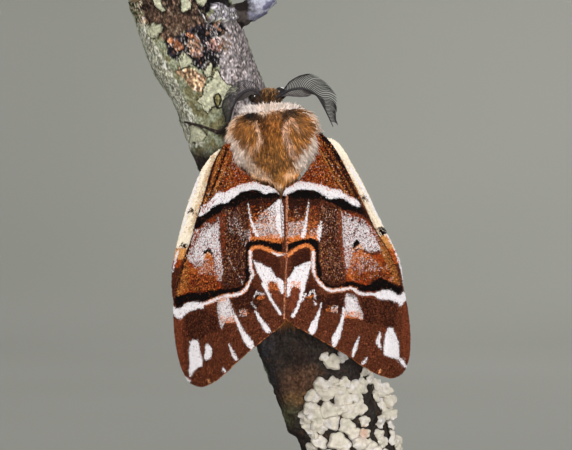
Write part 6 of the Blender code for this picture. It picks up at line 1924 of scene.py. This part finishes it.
def claws():
    """Two hooked claws at the end of each leg."""
    parts = []
    for name in LEGS:
        line, _, _ = leg_line(name)
        ahead = unit(line[-1] - line[-4])
        root = line[-1] - ahead * 0.05
        inward = (branch_axis(to_world(root[None])[:, 2])[0] - to_world(root[None])) @ MOTH_MATRIX[:3, :3]
        inward = unit(inward[0] - ahead * (inward[0] @ ahead))
        for spread in (-1, 1):
            side = np.cross(ahead, inward) * spread
            steps = np.linspace(0, 1, 8)[:, None]
            path = root + ahead * 0.26 * steps + side * 0.1 * steps + inward * 0.2 * steps**2.4
            made, faces = swept(path, np.linspace(0.05, 0.008, 8), 8)
            parts.append((to_world(made), faces))
    points, faces = joined(parts)
    new_piece("claws", points, faces, eye_look)


# Skin and eyes
def ball(centre, radii, around=64, rings=40):
    turns = 2 * math.pi * np.arange(around) / around
    rises = np.linspace(0, math.pi, rings)[:, None]
    level, height = np.sin(rises), np.cos(rises) * np.ones(around)
    units = np.stack([level * np.cos(turns), level * np.sin(turns), height], axis=-1)
    return centre + units.reshape(-1, 3) * radii, tube_faces(rings, around, turned=True)


def rough_skin():
    """Points and faces of the body's parts, each closed and still apart."""
    points, faces, base = [], [], 0
    sphere, quads = ball(np.zeros(3), np.ones(3))
    parts = [
        (THORAX_CENTRE + sphere * (THORAX_RADII - 0.2) * thorax_form(sphere), [quads]),
        (HEAD_CENTRE + sphere * (HEAD_RADII - 0.32), [quads]),
        swept(RUFF_LINE, RUFF_RADII - 0.1, 20),
    ]
    parts += [swept(palp_line(sign, 30), np.linspace(0.5, 0.24, 30), 16) for sign in (-1, 1)]
    z = np.linspace(-2.6, -20.2, 60)
    middle, radius = abdomen_at(z)
    segments = 1 + 0.02 * np.sin(z * 2 * math.pi / SEGMENT)
    parts.append(swept(middle, (radius - 0.05) * segments, 40))
    for name in LEGS:
        line, radii, ankle = leg_line(name)
        waists = np.exp(-((np.sin(LEG_SHARES * math.pi / TARSAL_JOINT) / 0.3) ** 2))
        joints = 1 - 0.16 * waists * smooth(ankle - 0.02, ankle + 0.05, LEG_SHARES)
        parts.append(swept(line, radii * joints - 0.02, 14))
    for made, groups in parts:
        points.append(made)
        faces += [corners for group in groups for corners in (group + base).tolist()]
        base += len(made)
    return np.vstack(points), faces


def melted(points, faces):
    """The points and quads of parts melted into one skin."""
    mesh = bpy.data.meshes.new("rough_skin")
    mesh.from_pydata(points.tolist(), [], faces)
    rough = bpy.data.objects.new("rough_skin", mesh)
    bpy.context.scene.collection.objects.link(rough)
    remesh = rough.modifiers.new("remesh", "REMESH")
    remesh.mode = "VOXEL"
    remesh.voxel_size = 0.15
    relax = rough.modifiers.new("relax", "SMOOTH")
    relax.factor = 0.5
    relax.iterations = 3
    graph = bpy.context.evaluated_depsgraph_get()
    shaped = rough.evaluated_get(graph).to_mesh()
    places = np.empty(len(shaped.vertices) * 3, np.float32)
    shaped.vertices.foreach_get("co", places)
    corners = np.empty(len(shaped.loops), np.int32)
    shaped.loops.foreach_get("vertex_index", corners)
    sizes = np.empty(len(shaped.polygons), np.int32)
    shaped.polygons.foreach_get("loop_total", sizes)
    rough.evaluated_get(graph).to_mesh_clear()
    bpy.data.objects.remove(rough)
    bpy.data.meshes.remove(mesh)
    if not (sizes == 4).all():
        raise ValueError("the skin's remesh gave faces that aren't quads")
    return places.reshape(-1, 3).astype(float), corners.reshape(-1, 4)


def body_skin():
    """One skin under the coat of thorax, head, palps, abdomen and legs, with no seams."""
    local, quads = melted(*rough_skin())
    chance = np.random.default_rng(81)
    world = to_world(local)
    _, colours = thorax_colours(world, chance)
    # Painted shade: the skin under the fur takes the fur's colours darkened, most where they are dark.
    colours = colours * (0.3 + 0.6 * smooth(0.25, 0.6, colours.mean(1)))[:, None]
    height = local[:, 2]
    colours[height < -3.5] = linear((84, 52, 30))
    colours[height > 3.6] = linear((70, 44, 24))
    off_thorax = np.linalg.norm((local - THORAX_CENTRE) / THORAX_RADII, axis=1)
    middle, radius = abdomen_at(height)
    off_abdomen = np.linalg.norm((local - middle)[:, :2], axis=1) - radius
    legs = (off_thorax > 1.12) & ((off_abdomen > 0.4) | (height > -2)) & (height < 6) & (local[:, 1] > 4.5)
    colours[legs] = linear((40, 31, 28))
    new_piece("body_skin", world, [quads], skin_look,
              replaces=["thorax", "head", "abdomen"] + ["leg_" + name for name in LEGS], shades=colours)


def eye(side):
    centre = np.array(EYE_PLACE) * np.array((-1 if side == "left" else 1, 1, 1))
    points, quads = ball(centre, np.array((1.0, 1.0, 1.0)) * EYE_RADIUS, 56, 36)
    new_piece(f"eye_{side}_lens", to_world(points), [quads], eye_look,
              replaces=[f"eye_{side}"])


# Stand
BASE_RADIUS = 25.0
BASE_THICKNESS = 5.0
BASE_CHAMFER = 0.8
ROD_RADIUS = 1.5
COLLAR_RADIUS = 2.8
COLLAR_THICKNESS = 1.2


def lathe(name, profile, centre, look, replaces, around=160):
    profile = np.array(profile)
    turns = 2 * math.pi * np.arange(around) / around
    ways = np.stack([np.cos(turns), np.sin(turns), np.zeros(around)], axis=1)
    rings = profile[:, None, :1] * ways[None] + np.array((0, 0, 1.0)) * profile[:, None, 1:]
    count = len(profile)
    caps = np.stack([np.arange(around)[::-1], np.arange(around) + (count - 1) * around])
    made = new_piece(name, rings.reshape(-1, 3) + np.array(centre), [tube_faces(count, around), caps], look,
                     replaces=replaces)
    made.data.set_sharp_from_angle(angle=math.radians(50))


def stand():
    """The turned base with a groove near its foot, and the rod with a collar at each end."""
    inset = BASE_CHAMFER
    edge = [(BASE_RADIUS - inset + inset * math.sin(a), BASE_THICKNESS - inset + inset * math.cos(a))
            for a in np.linspace(math.pi / 2, 0, 8)]
    foot = [(BASE_RADIUS - 0.25, 0), (BASE_RADIUS, 0.25), (BASE_RADIUS, 1.4), (BASE_RADIUS - 0.18, 1.55),
            (BASE_RADIUS - 0.18, 1.75), (BASE_RADIUS, 1.9)]
    inner = [(radius, BASE_THICKNESS) for radius in (20.0, 10.0, 0.6)]
    lathe("stand_base_turned", foot + edge + inner, (0, 0, 0), base_look, ["stand_base"])
    low, high = BASE_THICKNESS + 0.3, BRANCH_LINE[0, 2] - 0.3
    low_top, high_foot = low + COLLAR_THICKNESS, high - COLLAR_THICKNESS
    bevel = 0.15
    profile = [
        (COLLAR_RADIUS - bevel, low), (COLLAR_RADIUS, low + bevel), (COLLAR_RADIUS, low_top - bevel),
        (COLLAR_RADIUS - bevel, low_top), (ROD_RADIUS, low_top), (ROD_RADIUS, high_foot),
        (COLLAR_RADIUS - bevel, high_foot), (COLLAR_RADIUS, high_foot + bevel),
        (COLLAR_RADIUS, high - bevel), (COLLAR_RADIUS - bevel, high),
    ]
    centre = (BRANCH_LINE[0, 0], BRANCH_LINE[0, 1], 0)
    lathe("stand_rod_turned", profile, centre, rod_look, ["stand_rod"], around=96)


def plain_material(name, low, high, grain, roughness, depth, specular=0.5, metallic=0.0, stretch=(1, 1, 1)):
    """A surface of two close colours in a fine grain."""
    made, tree, shader = start_material(name, roughness, specular=specular)
    shader.inputs["Metallic"].default_value = metallic
    fine = noise_node(tree, grain, stretch=stretch)
    tree.links.new(ramp_node(tree, fine, [(0.35, low), (0.65, high)]), shader.inputs["Base Color"])
    bump_node(tree, shader, fine, 0.4, depth)
    return made


fur_look = marked_material("fur", 0.75, 2600.0, 0.000006, sheen=0.05, specular=0.1, variation=0.12)
skin_look = marked_material("skin", 0.85, 1800.0, 0.00002, specular=0.15, variation=0.3)
feeler_look = marked_material("feeler", 0.55, 3500.0, 0.000006, specular=0.35, variation=0.2)
leg_look = marked_material("leg_scale", 0.7, 3500.0, 0.000006, specular=0.25, variation=0.2)
bark_look = marked_material("bark_surface", 0.9, 3600.0, 0.00012, specular=0.12, variation=0.5)
lichen_look = marked_material("lichen_surface", 0.95, 2200.0, 0.00010, specular=0.1, variation=0.2)
eye_look = plain_material("eye_lens", (0.004, 0.003, 0.003), (0.012, 0.008, 0.006), 4000.0, 0.16, 0.000003,
                          specular=0.6)
base_look = plain_material("base_wood", (0.022, 0.014, 0.010), (0.048, 0.030, 0.020), 260.0, 0.36, 0.00002,
                           stretch=(0.12, 1.6, 1.6))
rod_look = plain_material("rod_steel", (0.52, 0.51, 0.5), (0.62, 0.61, 0.6), 900.0, 0.3, 0.000004,
                          metallic=1.0, stretch=(1, 1, 0.1))

body_skin()
for side in ("left", "right"):
    eye(side)
    antenna(side)
thorax_coat("thorax_coat_under", 10000, False, 31, 0.12, 0.85)
thorax_coat("thorax_coat_over", 12000, False, 33, 0.1, 1.1)
thorax_coat("thorax_coat_fringe", 30000, False, 35, 0.11, 0.92, pale_only=True)
thorax_coat("thorax_coat_belly", 5500, True, 35, 0.11, 0.95)
collar_coat()
head_coat()
palp_coat()
abdomen_coat()
legs_coat()
claws()
branch_bark()
branch_stub()
lichen_lobes()
stand()
